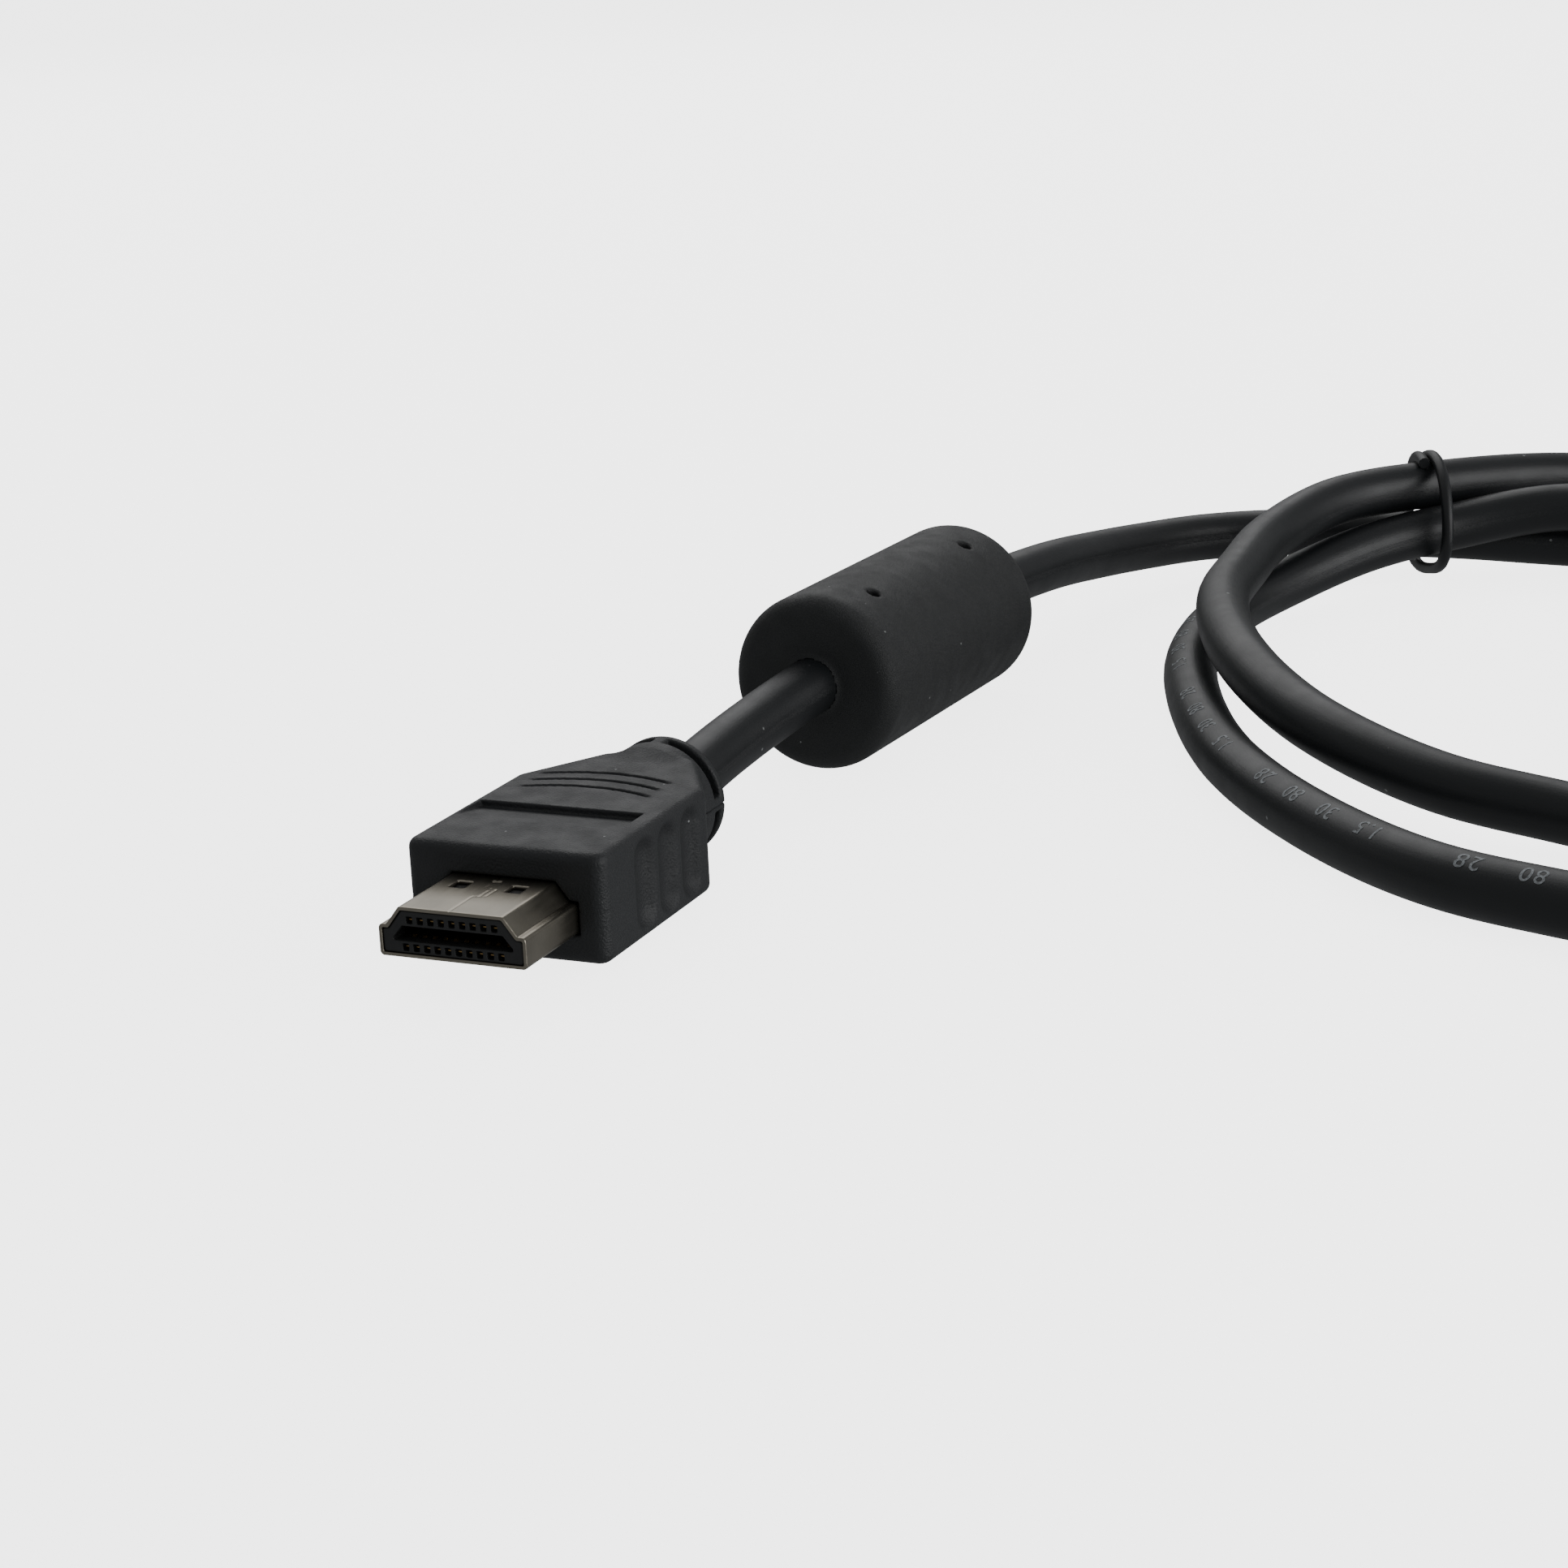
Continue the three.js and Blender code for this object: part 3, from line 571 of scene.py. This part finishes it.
def glass_filled_plastic(name, base):
    finish = Finish(name, base, 0.5)
    finish.shades(finish.noise(0.6, 3.0), 0.85, 1.15)
    finish.rough(finish.noise(0.3, 2.0), 0.42, 0.6)
    finish.bump((finish.noise(0.08, 2.0), 0.01))
    return finish.material


def sprung_metal(name, base):
    finish = Finish(name, base, 0.3, Metallic=1.0)
    finish.shades(finish.noise(0.4, 3.0), 0.8, 1.1)
    finish.rough(finish.noise(0.3, 2.0), 0.25, 0.4)
    return finish.material


def printed_ink(name, base):
    finish = Finish(name, base, 0.6)
    finish.shades(finish.noise(0.25, 3.0), 0.55, 1.15, (0.35, 0.6))
    return finish.material


# Plug, worked out in millimetres from its nose, and its grip from the grip's front
SHELL_EXPOSED = 9.3
FLUTE_START, FLUTE_PITCH, FLUTE_WIDTH = 8.0, 4.6, 3.7
RECESS_START, RECESS_LENGTH, RECESS_MIDDLE = 7.3, 4.9, -0.5
ARC_START, ARC_PITCH, ARC_RADIUS, ARC_MIDDLE = 18.4, 2.15, 15.0, -0.65
MOUTH_MIDDLE, MOUTH_HALF, MOUTH_DEPTH = -0.15, 0.66, 8.4
LATCH_ACROSS, LATCH_ALONG = 2.65, 6.85


def shell_section(s, change=0.0):
    """Corners of the shell's outline, anticlockwise, wide side down"""
    half, narrow, height = s.width / MM / 2, s.narrow_width / MM / 2, s.height / MM
    side = -height / 2 + s.side / MM
    ledge = half - s.shoulder / MM
    corners = [(half, -height / 2), (half, side), (ledge, side), (narrow, height / 2)]
    return grown(both_sides(corners), change)


def grip_field(grip, shell):
    width, height = grip.width / MM, grip.height / MM
    straight = grip.straight / MM
    whole = straight + grip.taper / MM
    edge, corner = grip.edge / MM, 1.3
    top = height / 2
    front = SHELL_EXPOSED
    collar = grip.collar_radius / MM
    rear = PLUG_LENGTH - front

    def field(p):
        x, y, z = p[0], p[1] - front, p[2]
        inner = [(width / 2 - corner, corner), (width / 2 - corner, straight - 0.4),
                 (grip.rear_width / MM / 2 - corner, whole - corner)]
        plan = field_outline(x, y, both_sides(inner)) - corner
        body = drawn_out(plan, z, -top, top, edge)

        # Collar, blended into the tapered rear
        radius = np.sqrt(x ** 2 + z ** 2)
        neck = field_rod(radius, y, collar, straight + 1.5, rear, 0.35)
        neck = np.maximum(neck, radius - top + 0.1 - (y - straight - 3.4) * 0.22)
        body = joined(body, neck, 0.6)
        groove = field_rod(radius, y, 99, rear - 2.2, rear - 1.0)
        groove = np.maximum(groove, collar - 1.5 - radius)
        rib = np.minimum(np.abs(x), np.abs(z)) - 0.65
        body = cut(body, np.maximum(groove, -rib), 0.25)
        body = cut(body, field_rod(radius, y, 3.0, rear - 1.6, rear + 2), 0.3)

        # Finger flutes on both sides
        depth = grip.flute_depth / MM
        round_flute = (FLUTE_WIDTH ** 2 / 4 + depth ** 2) / (2 * depth)
        reach = top - 0.6 - 1.9
        for i in range(3):
            away = np.maximum(np.abs(z) - reach, 0) * 1.05
            out = np.abs(x) - width / 2 - round_flute + depth
            ahead = y - FLUTE_START - FLUTE_PITCH * i
            tube = np.sqrt(out ** 2 + ahead ** 2 + away ** 2) - round_flute
            body = cut(body, tube, 0.35)

        # Bare recess on top, deepest at its rear
        floor = top - (y - RECESS_START) / RECESS_LENGTH * grip.recess_depth / MM
        beside = np.abs(x - RECESS_MIDDLE) - grip.recess_width / MM / 2
        past = np.maximum(RECESS_START - y, y - RECESS_START - RECESS_LENGTH)
        hollow = np.maximum(np.maximum(floor - z, beside), past)
        body = cut(body, hollow, 0.1)

        # Three fine arcs behind it
        for i in range(3):
            across = np.abs(x - ARC_MIDDLE)
            centre = ARC_START + ARC_PITCH * i - ARC_RADIUS
            band = np.abs(np.sqrt(across ** 2 + (y - centre) ** 2) - ARC_RADIUS) - 0.24
            fade = 0.36 * np.clip((7.0 - across) / 1.8, 0, 1)
            line = np.maximum(np.maximum(band, top - fade - z), centre - y)
            body = cut(body, line, 0.12)

        # Parting line round the middle, and the pocket that holds the shell
        ring = np.maximum(np.abs(z + 0.2) - 0.06, -(plan + 0.07))
        body = cut(body, ring, 0.05)
        pocket = field_outline(x, z, shell_section(shell, 0.05)) - 0.05
        return cut(body, np.maximum(pocket, y - 6.3), 0.25)

    return field, (-width / 2, front, -collar), (width / 2, PLUG_LENGTH, collar)


def shell_field(shell):
    wall, size = shell.wall / MM, shell.length / MM
    top = shell.height / MM / 2

    def field(p):
        x, y, z = p
        outer = field_outline(x, z, shell_section(shell, -0.4)) - 0.4
        skin = np.maximum(outer, -outer - wall)
        body = drawn_out(skin, y, 0, size, 0.1)

        # Two latch holes and the seam with its dovetail, all in the narrow side
        for side in (-1, 1):
            hole = field_box(p, (side * LATCH_ACROSS, LATCH_ALONG, top), (0.72, 0.85, 0.8), 0.12)
            body = cut(body, hole, 0.12)
        step = np.clip((y - 4.2) / 0.25, 0, 1) - np.clip((y - 6.3) / 0.25, 0, 1)
        seam = np.maximum(np.abs(x + 0.1 - 1.1 * step) - 0.05, top - 0.16 - z)
        bulge = field_box(p, (0.5, 5.0, top), (0.05, 0.9, 0.16), 0.04)
        body = cut(body, np.minimum(seam, bulge), 0.05)
        for y_mark in (8.3, 10.2):
            body = cut(body, field_box(p, (0.0, y_mark, top), (0.45, 0.16, 0.2), 0.08), 0.08)
        return body

    half = shell.width / MM / 2
    return field, (-half, 0, -top), (half, size, top)


def contact_places(shell):
    """Across and up, for the lower ten and the upper nine"""
    pitch = shell.contact_pitch / MM
    lower = [((i - 4.5) * pitch, -1) for i in range(10)]
    upper = [((i - 4.0) * pitch, 1) for i in range(9)]
    return lower + upper


def insulator_field(shell):
    half, top = shell.width / MM / 2, shell.height / MM / 2
    size = shell.length / MM

    def field(p):
        x, y, z = p
        body = field_outline(x, z, shell_section(shell, -shell.wall / MM - 0.3)) - 0.25
        body = drawn_out(body, y, 0.12, size, 0.08)
        low, high = MOUTH_MIDDLE - MOUTH_HALF, MOUTH_MIDDLE + MOUTH_HALF
        mouth = both_sides([(5.65, low), (5.65, low + 0.25), (4.75, high)])
        body = cut(body, np.maximum(field_outline(x, z, mouth), y - MOUTH_DEPTH), 0.12)
        for across, side in contact_places(shell):
            edge = MOUTH_MIDDLE + side * MOUTH_HALF
            window = field_box(p, (across, 0, edge + side * 0.55), (0.3, 1.6, 0.32), 0.04)
            channel = field_box(p, (across, 4.9, edge + side * 0.28), (0.3, 3.6, 0.5), 0.04)
            body = cut(body, np.minimum(window, channel))
        return body

    return field, (-half, 0.12, -top), (half, size, top)


def contact_spring():
    """Outline of one contact in y and z, bowed towards the mouth"""
    line = [(0.5, 0.62), (1.15, 0.62), (1.75, 0.05), (2.5, -0.08), (3.3, 0.08), (4.2, 0.5), (8.0, 0.5)]
    under = [(y, z - 0.16) for y, z in line]
    return line + under[::-1]


def contact_row(name, shell, place, material):
    """All of a plug's contacts, one spring set out on the rows' points"""
    outline = contact_spring()
    half = 0.21
    points = [(side * half, y, z) for side in (-1, 1) for y, z in outline]
    n = len(outline)
    faces = [(i, (i + 1) % n, (i + 1) % n + n, i + n) for i in range(n)]
    faces += [(i, n - 1 - i, n - 2 - i, i + 1)[::-1] for i in range(n // 2 - 1)]
    faces += [(i + n, 2 * n - 1 - i, 2 * n - 2 - i, i + 1 + n) for i in range(n // 2 - 1)]
    spring = bpy.data.meshes.new(name + "_spring")
    spring.from_pydata([[c * MM for c in q] for q in points], [], faces)
    body = bmesh.new()
    body.from_mesh(spring)
    bmesh.ops.recalc_face_normals(body, faces=body.faces)
    bmesh.ops.bevel(body, geom=body.edges[:], offset=0.03 * MM, segments=1, affect="EDGES")
    body.to_mesh(spring)
    body.free()
    single = bpy.data.objects.new(name + "_spring", spring)
    bpy.context.scene.collection.objects.link(single)

    tree = Tree(name + "_rows", [
        ("Geometry", "Geometry", None), ("Spring", "Object", None), ("Pitch", "Float", 0.001),
        ("Lower Count", "Int", 10), ("Upper Count", "Int", 9), ("Edge Height", "Float", 0.001),
        ("Middle Height", "Float", 0.0)])
    g = tree.start.outputs
    shape = tree.add("GeometryNodeObjectInfo", {"Object": g["Spring"]})
    rows = []
    for label, side in (("Lower Count", -1), ("Upper Count", 1)):
        gaps = tree.add("ShaderNodeMath", {0: g[label], 1: 1.0}, operation="SUBTRACT")
        span = tree.add("ShaderNodeMath", {0: gaps.outputs[0], 1: g["Pitch"]}, operation="MULTIPLY")
        first = tree.add("ShaderNodeMath", {0: span.outputs[0], 1: -0.5}, operation="MULTIPLY")
        height = tree.add("ShaderNodeMath", {
            0: g["Edge Height"], 1: float(side), 2: g["Middle Height"]}, operation="MULTIPLY_ADD")
        start = tree.add("ShaderNodeCombineXYZ", {0: first.outputs[0], 2: height.outputs[0]})
        offset = tree.add("ShaderNodeCombineXYZ", {0: g["Pitch"]})
        row = tree.add("GeometryNodeMeshLine", {
            "Count": g[label], "Start Location": start.outputs[0], "Offset": offset.outputs[0]})
        rolled = tree.add("GeometryNodeInstanceOnPoints", {
            "Points": row.outputs[0], "Instance": shape.outputs["Geometry"],
            "Rotation": (0.0, 0.0 if side > 0 else math.pi, 0.0)})
        rows.append(rolled.outputs[0])
    both = tree.add("GeometryNodeJoinGeometry")
    for row in rows:
        tree.tree.links.new(row, both.inputs[0])
    tree.finish(both.outputs[0], material)
    source = bpy.data.objects.new(name + "_points", bpy.data.meshes.new(name + "_points"))
    bpy.context.scene.collection.objects.link(source)
    mesh = tree.applied(source, {
        "Spring": single, "Pitch": shell.contact_pitch, "Edge Height": MOUTH_HALF * MM,
        "Middle Height": MOUTH_MIDDLE * MM})
    bpy.data.objects.remove(single)
    scale = Matrix.Scale(MM, 4)
    mesh.transform(scale @ place @ scale.inverted())
    return mesh


class CABLE_OT_stage(bpy.types.Operator):
    """Make the floor, the lights and the camera"""

    bl_idname = "cable.stage"
    bl_label = "Stage"

    def execute(self, context):
        s = context.scene.cable_studio
        scene = context.scene
        camera = bpy.data.objects.new("camera", bpy.data.cameras.new("camera"))
        scene.collection.objects.link(camera)
        camera.data.lens = s.lens
        camera.data.sensor_width = 36
        camera.data.clip_start = 0.01
        camera.data.clip_end = 100
        aimed = Euler((math.pi / 2 - s.tilt, 0, s.turn)).to_matrix()
        looking = aimed @ Euler((0, 0, s.roll)).to_matrix()
        camera.matrix_world = Matrix.Translation(s.camera) @ looking.to_4x4()
        scene.camera = camera

        floor = bpy.data.meshes.new("floor")
        reach = 12.0
        ring = [(-reach, -reach), (reach, -reach), (reach, reach), (-reach, reach)]
        floor.from_pydata([(x, y, z) for z in (0, reach) for x, y in ring], [],
                          [(0, 1, 2, 3)] + [(i, i + 4, (i + 1) % 4 + 4, (i + 1) % 4) for i in range(4)])
        finish = Finish("pale_floor", s.floor, 0.9)
        finish.shader.inputs["Emission Color"].default_value = (1, 1, 1, 1)
        finish.shader.inputs["Emission Strength"].default_value = s.glow
        floor.materials.append(finish.material)
        ground = bpy.data.objects.new("floor", floor)
        ground.visible_diffuse = False
        ground.visible_glossy = False
        scene.collection.objects.link(ground)

        world = bpy.data.worlds.new("studio")
        scene.world = world
        world.use_nodes = True
        sky = world.node_tree.nodes["Background"].inputs
        sky["Color"].default_value = (0.96, 0.98, 1.0, 1)
        sky["Strength"].default_value = s.sky
        lamps = (
            ("key_light", (-0.45, 0.85, 0.85), (0.06, 0.05, 0.0), 1.1, 5.0),
            ("side_light", (0.9, 0.05, 0.16), (0.05, 0.02, 0.0), 0.8, 5.5),
        )
        for name, at, aim, size, power in lamps:
            data = bpy.data.lights.new(name, "AREA")
            data.shape = "SQUARE"
            data.size = size
            data.energy = power
            lamp = bpy.data.objects.new(name, data)
            lamp.location = at
            lamp.rotation_euler = (Vector(aim) - Vector(at)).to_track_quat("-Z", "Y").to_euler()
            scene.collection.objects.link(lamp)
        return {"FINISHED"}


class CABLE_OT_lead(bpy.types.Operator):
    """Make the cable along its route"""

    bl_idname = "cable.lead"
    bl_label = "Cable"

    def execute(self, context):
        s = context.scene.cable_lead
        ends = 1.2
        line = even(cable_line(s), 1.5)
        first = Vector(line[0]) + Vector((0, -ends - 0.3, 0))
        heading = Vector(line[-1]) - Vector(line[-2])
        last = Vector(line[-1]) + heading.normalized() * (ends + 0.3)
        line = np.array([tuple(first), *line, tuple(last)])
        material = jacket_plastic("cable_jacket", s.jacket)
        mesh = swept("cable", line, s.diameter / MM / 2, s.sides, material, 1.5)
        cable = new_piece("cable_jacket", mesh, material, ["cable"])
        cable["route"] = [float(c) * MM for q in line for c in q]
        return {"FINISHED"}


class CABLE_OT_grips(bpy.types.Operator):
    """Make the moulded grips of both plugs"""

    bl_idname = "cable.grips"
    bl_label = "Grips"

    def execute(self, context):
        grip, shell = context.scene.cable_grip, context.scene.cable_shell
        material = moulded_plastic("grip_plastic", grip.finish, 0.2)
        points, faces = moulded(*grip_field(grip, shell), 0.2)
        for plug, place in plug_matrices(context.scene.cable_lead).items():
            mesh = new_mesh(f"{plug}_grip", points, faces, place)
            new_piece(f"{plug}_grip", mesh, material, [f"{plug}_overmold"])
        return {"FINISHED"}


class CABLE_OT_shells(bpy.types.Operator):
    """Make the metal shells"""

    bl_idname = "cable.shells"
    bl_label = "Shells"

    def execute(self, context):
        shell = context.scene.cable_shell
        material = plated_metal("shell_plating", shell.finish)
        points, faces = moulded(*shell_field(shell), 0.12)
        for plug, place in plug_matrices(context.scene.cable_lead).items():
            mesh = new_mesh(f"{plug}_nose", points, faces, place)
            new_piece(f"{plug}_nose", mesh, material, [f"{plug}_shell"])
        return {"FINISHED"}


class CABLE_OT_insulators(bpy.types.Operator):
    """Make the insulators inside the shells, with their windows"""

    bl_idname = "cable.insulators"
    bl_label = "Insulators"

    def execute(self, context):
        shell = context.scene.cable_shell
        material = glass_filled_plastic("insulator_plastic", shell.insulator)
        points, faces = moulded(*insulator_field(shell), 0.12)
        for plug, place in plug_matrices(context.scene.cable_lead).items():
            mesh = new_mesh(f"{plug}_core", points, faces, place)
            new_piece(f"{plug}_core", mesh, material, [f"{plug}_insulator"])
        return {"FINISHED"}


class CABLE_OT_contacts(bpy.types.Operator):
    """Set the contact springs out in their two rows"""

    bl_idname = "cable.contacts"
    bl_label = "Contacts"

    def execute(self, context):
        shell = context.scene.cable_shell
        material = sprung_metal("contact_gold", shell.contact)
        for plug, place in plug_matrices(context.scene.cable_lead).items():
            mesh = contact_row(f"{plug}_contacts", shell, place, material)
            nodes = [f"{plug}_contact_{i:02d}" for i in range(1, 20)]
            new_piece(f"{plug}_contacts", mesh, material, nodes)
        return {"FINISHED"}


class CABLE_OT_choke(bpy.types.Operator):
    """Make the ferrite choke"""

    bl_idname = "cable.choke"
    bl_label = "Choke"

    def execute(self, context):
        s = context.scene.cable_lead
        radius, size, edge = s.choke_diameter / MM / 2, s.choke_length / MM, s.choke_edge / MM

        def field(p):
            x, y, z = p
            across = np.sqrt(x ** 2 + z ** 2)
            body = field_rod(across, y, radius, 0, size, edge)
            body = joined(body, field_rod(across, y, s.diameter / MM / 2 - 0.1, -0.5, size + 0.5), 0.8)
            tilt = math.radians(25)
            u = x * math.cos(tilt) - z * math.sin(tilt)
            w = x * math.sin(tilt) + z * math.cos(tilt)
            for at in (7.2, 30.4):
                pin = field_rod(np.sqrt(u ** 2 + (y - at) ** 2), w, 0.75, radius - 1.2, radius + 2)
                body = cut(body, pin, 0.2)
            return body

        points, faces = moulded(field, (-radius, 0, -radius), (radius, size, radius), 0.27)
        material = moulded_plastic("choke_plastic", s.choke_finish, 0.1)
        mesh = new_mesh("choke_sleeve", points, faces, choke_matrix())
        new_piece("choke_sleeve", mesh, material, ["ferrite_choke"])
        return {"FINISHED"}


class CABLE_OT_tie(bpy.types.Operator):
    """Make the tie round the back of the coil"""

    bl_idname = "cable.tie"
    bl_label = "Tie"

    def execute(self, context):
        s = context.scene.cable_lead
        turn = Matrix.Translation(TIE_CENTRE) @ Matrix.Rotation(math.radians(TIE_TURN), 4, "Z")
        line = even([turn @ q for q in through(TIE_POINTS, 8)], 0.5)
        for _ in range(24):
            line[1:-1] = (line[:-2] + 2 * line[1:-1] + line[2:]) / 4
        material = jacket_plastic("tie_plastic", s.jacket)
        mesh = swept("tie", line, s.tie_diameter / MM / 2, 16, material, 0.5)
        new_piece("tie_wire", mesh, material, ["wire_tie"])
        return {"FINISHED"}


MARKS = "1.5    30    80    28    "
MARKS_FROM = 150
MARKS_TO = 640
MARKS_LEAN = 62.0


def mark_shapes(height):
    """The row of numbers as thin solids in millimetres, split across so that they can bend"""
    text = bpy.data.curves.new("marks", "FONT")
    text.body = MARKS
    text.size = height / 0.7
    text.space_character = 1.15
    text.extrude = 0.01
    holder = bpy.data.objects.new("marks", text)
    bpy.context.scene.collection.objects.link(holder)
    bpy.context.view_layer.update()
    flat = bpy.data.meshes.new_from_object(holder)
    bpy.data.objects.remove(holder)
    shapes = bmesh.new()
    shapes.from_mesh(flat)
    bmesh.ops.remove_doubles(shapes, verts=shapes.verts[:], dist=1e-4)
    for level in range(1, 5):
        bmesh.ops.bisect_plane(
            shapes, geom=[*shapes.verts, *shapes.edges, *shapes.faces],
            plane_co=(0, height * level / 5, 0), plane_no=(0, 1, 0))
    points = np.array([tuple(v.co) for v in shapes.verts])
    faces = [[v.index for v in face.verts] for face in shapes.faces]
    shapes.free()
    return points, faces


class CABLE_OT_marks(bpy.types.Operator):
    """Print plain numbers along the outer turn of the cable"""

    bl_idname = "cable.marks"
    bl_label = "Numbers"

    def execute(self, context):
        s = context.scene.cable_lead
        radius, height = s.diameter / MM / 2, s.mark_height / MM
        line = even(cable_line(s), 1.0)
        tangents = np.gradient(line, axis=0)
        tangents /= np.linalg.norm(tangents, axis=1)[:, None]
        points, faces = mark_shapes(height)
        period = points[:, 0].max() + 9.0
        lean = math.radians(MARKS_LEAN)
        places, rings = [], []
        start = float(MARKS_FROM)
        while start + period < MARKS_TO:
            run = start + points[:, 0]
            centre, ahead = (
                np.stack([np.interp(run, np.arange(len(line)), values[:, i]) for i in range(3)], axis=1)
                for values in (line, tangents))
            outer = np.cross((0, 0, 1), ahead)
            outer /= np.linalg.norm(outer, axis=1)[:, None]
            up = np.cross(ahead, outer)
            turn = lean - (points[:, 1] - height / 2) / radius
            reach = radius + 0.012 + points[:, 2]
            out = np.cos(turn)[:, None] * outer + np.sin(turn)[:, None] * up
            places.append(centre + reach[:, None] * out)
            rings += [[i + (len(places) - 1) * len(points) for i in face] for face in faces]
            start += period
        mesh = bpy.data.meshes.new("cable_numbers")
        mesh.from_pydata((np.concatenate(places) * MM).tolist(), [], rings)
        mesh.update()
        material = printed_ink("number_ink", s.ink)
        new_piece("cable_numbers", mesh, material)
        return {"FINISHED"}


class CABLE_OT_free_cable(bpy.types.Operator):
    """Finishes at once without doing anything"""

    bl_idname = "cable.free_cable"
    bl_label = "Cable facts"

    def execute(self, context):
        return {"FINISHED"}


class CABLE_PT_panel(bpy.types.Panel):
    """The cable's sizes and its pieces"""

    bl_label = "Video Cable"
    bl_space_type = "VIEW_3D"
    bl_region_type = "UI"
    bl_category = "Video Cable"

    def draw(self, context):
        for group, kind in GROUPS.items():
            box = self.layout.box()
            for key in kind.__annotations__:
                box.prop(getattr(context.scene, group), key)
        for operator in OPERATORS:
            self.layout.operator(operator.bl_idname)


GROUPS = {
    "cable_studio": StudioSettings,
    "cable_lead": LeadSettings,
    "cable_grip": GripSettings,
    "cable_shell": ShellSettings,
}
OPERATORS = (
    CABLE_OT_stage, CABLE_OT_lead, CABLE_OT_grips, CABLE_OT_shells, CABLE_OT_insulators,
    CABLE_OT_contacts, CABLE_OT_choke, CABLE_OT_tie, CABLE_OT_marks, CABLE_OT_free_cable,
)


def register():
    for group, kind in GROUPS.items():
        bpy.utils.register_class(kind)
        setattr(bpy.types.Scene, group, bpy.props.PointerProperty(type=kind))
    for kind in (*OPERATORS, CABLE_PT_panel):
        bpy.utils.register_class(kind)


def unregister():
    for kind in (CABLE_PT_panel, *reversed(OPERATORS)):
        bpy.utils.unregister_class(kind)
    for group, kind in reversed(GROUPS.items()):
        delattr(bpy.types.Scene, group)
        bpy.utils.unregister_class(kind)


def main():
    register()
    bpy.ops.cable.stage()
    bpy.ops.cable.lead()
    bpy.ops.cable.grips()
    bpy.ops.cable.shells()
    bpy.ops.cable.insulators()
    bpy.ops.cable.contacts()
    bpy.ops.cable.choke()
    bpy.ops.cable.tie()
    bpy.ops.cable.marks()
    bpy.ops.cable.free_cable()


if __name__ == "__main__":
    main()
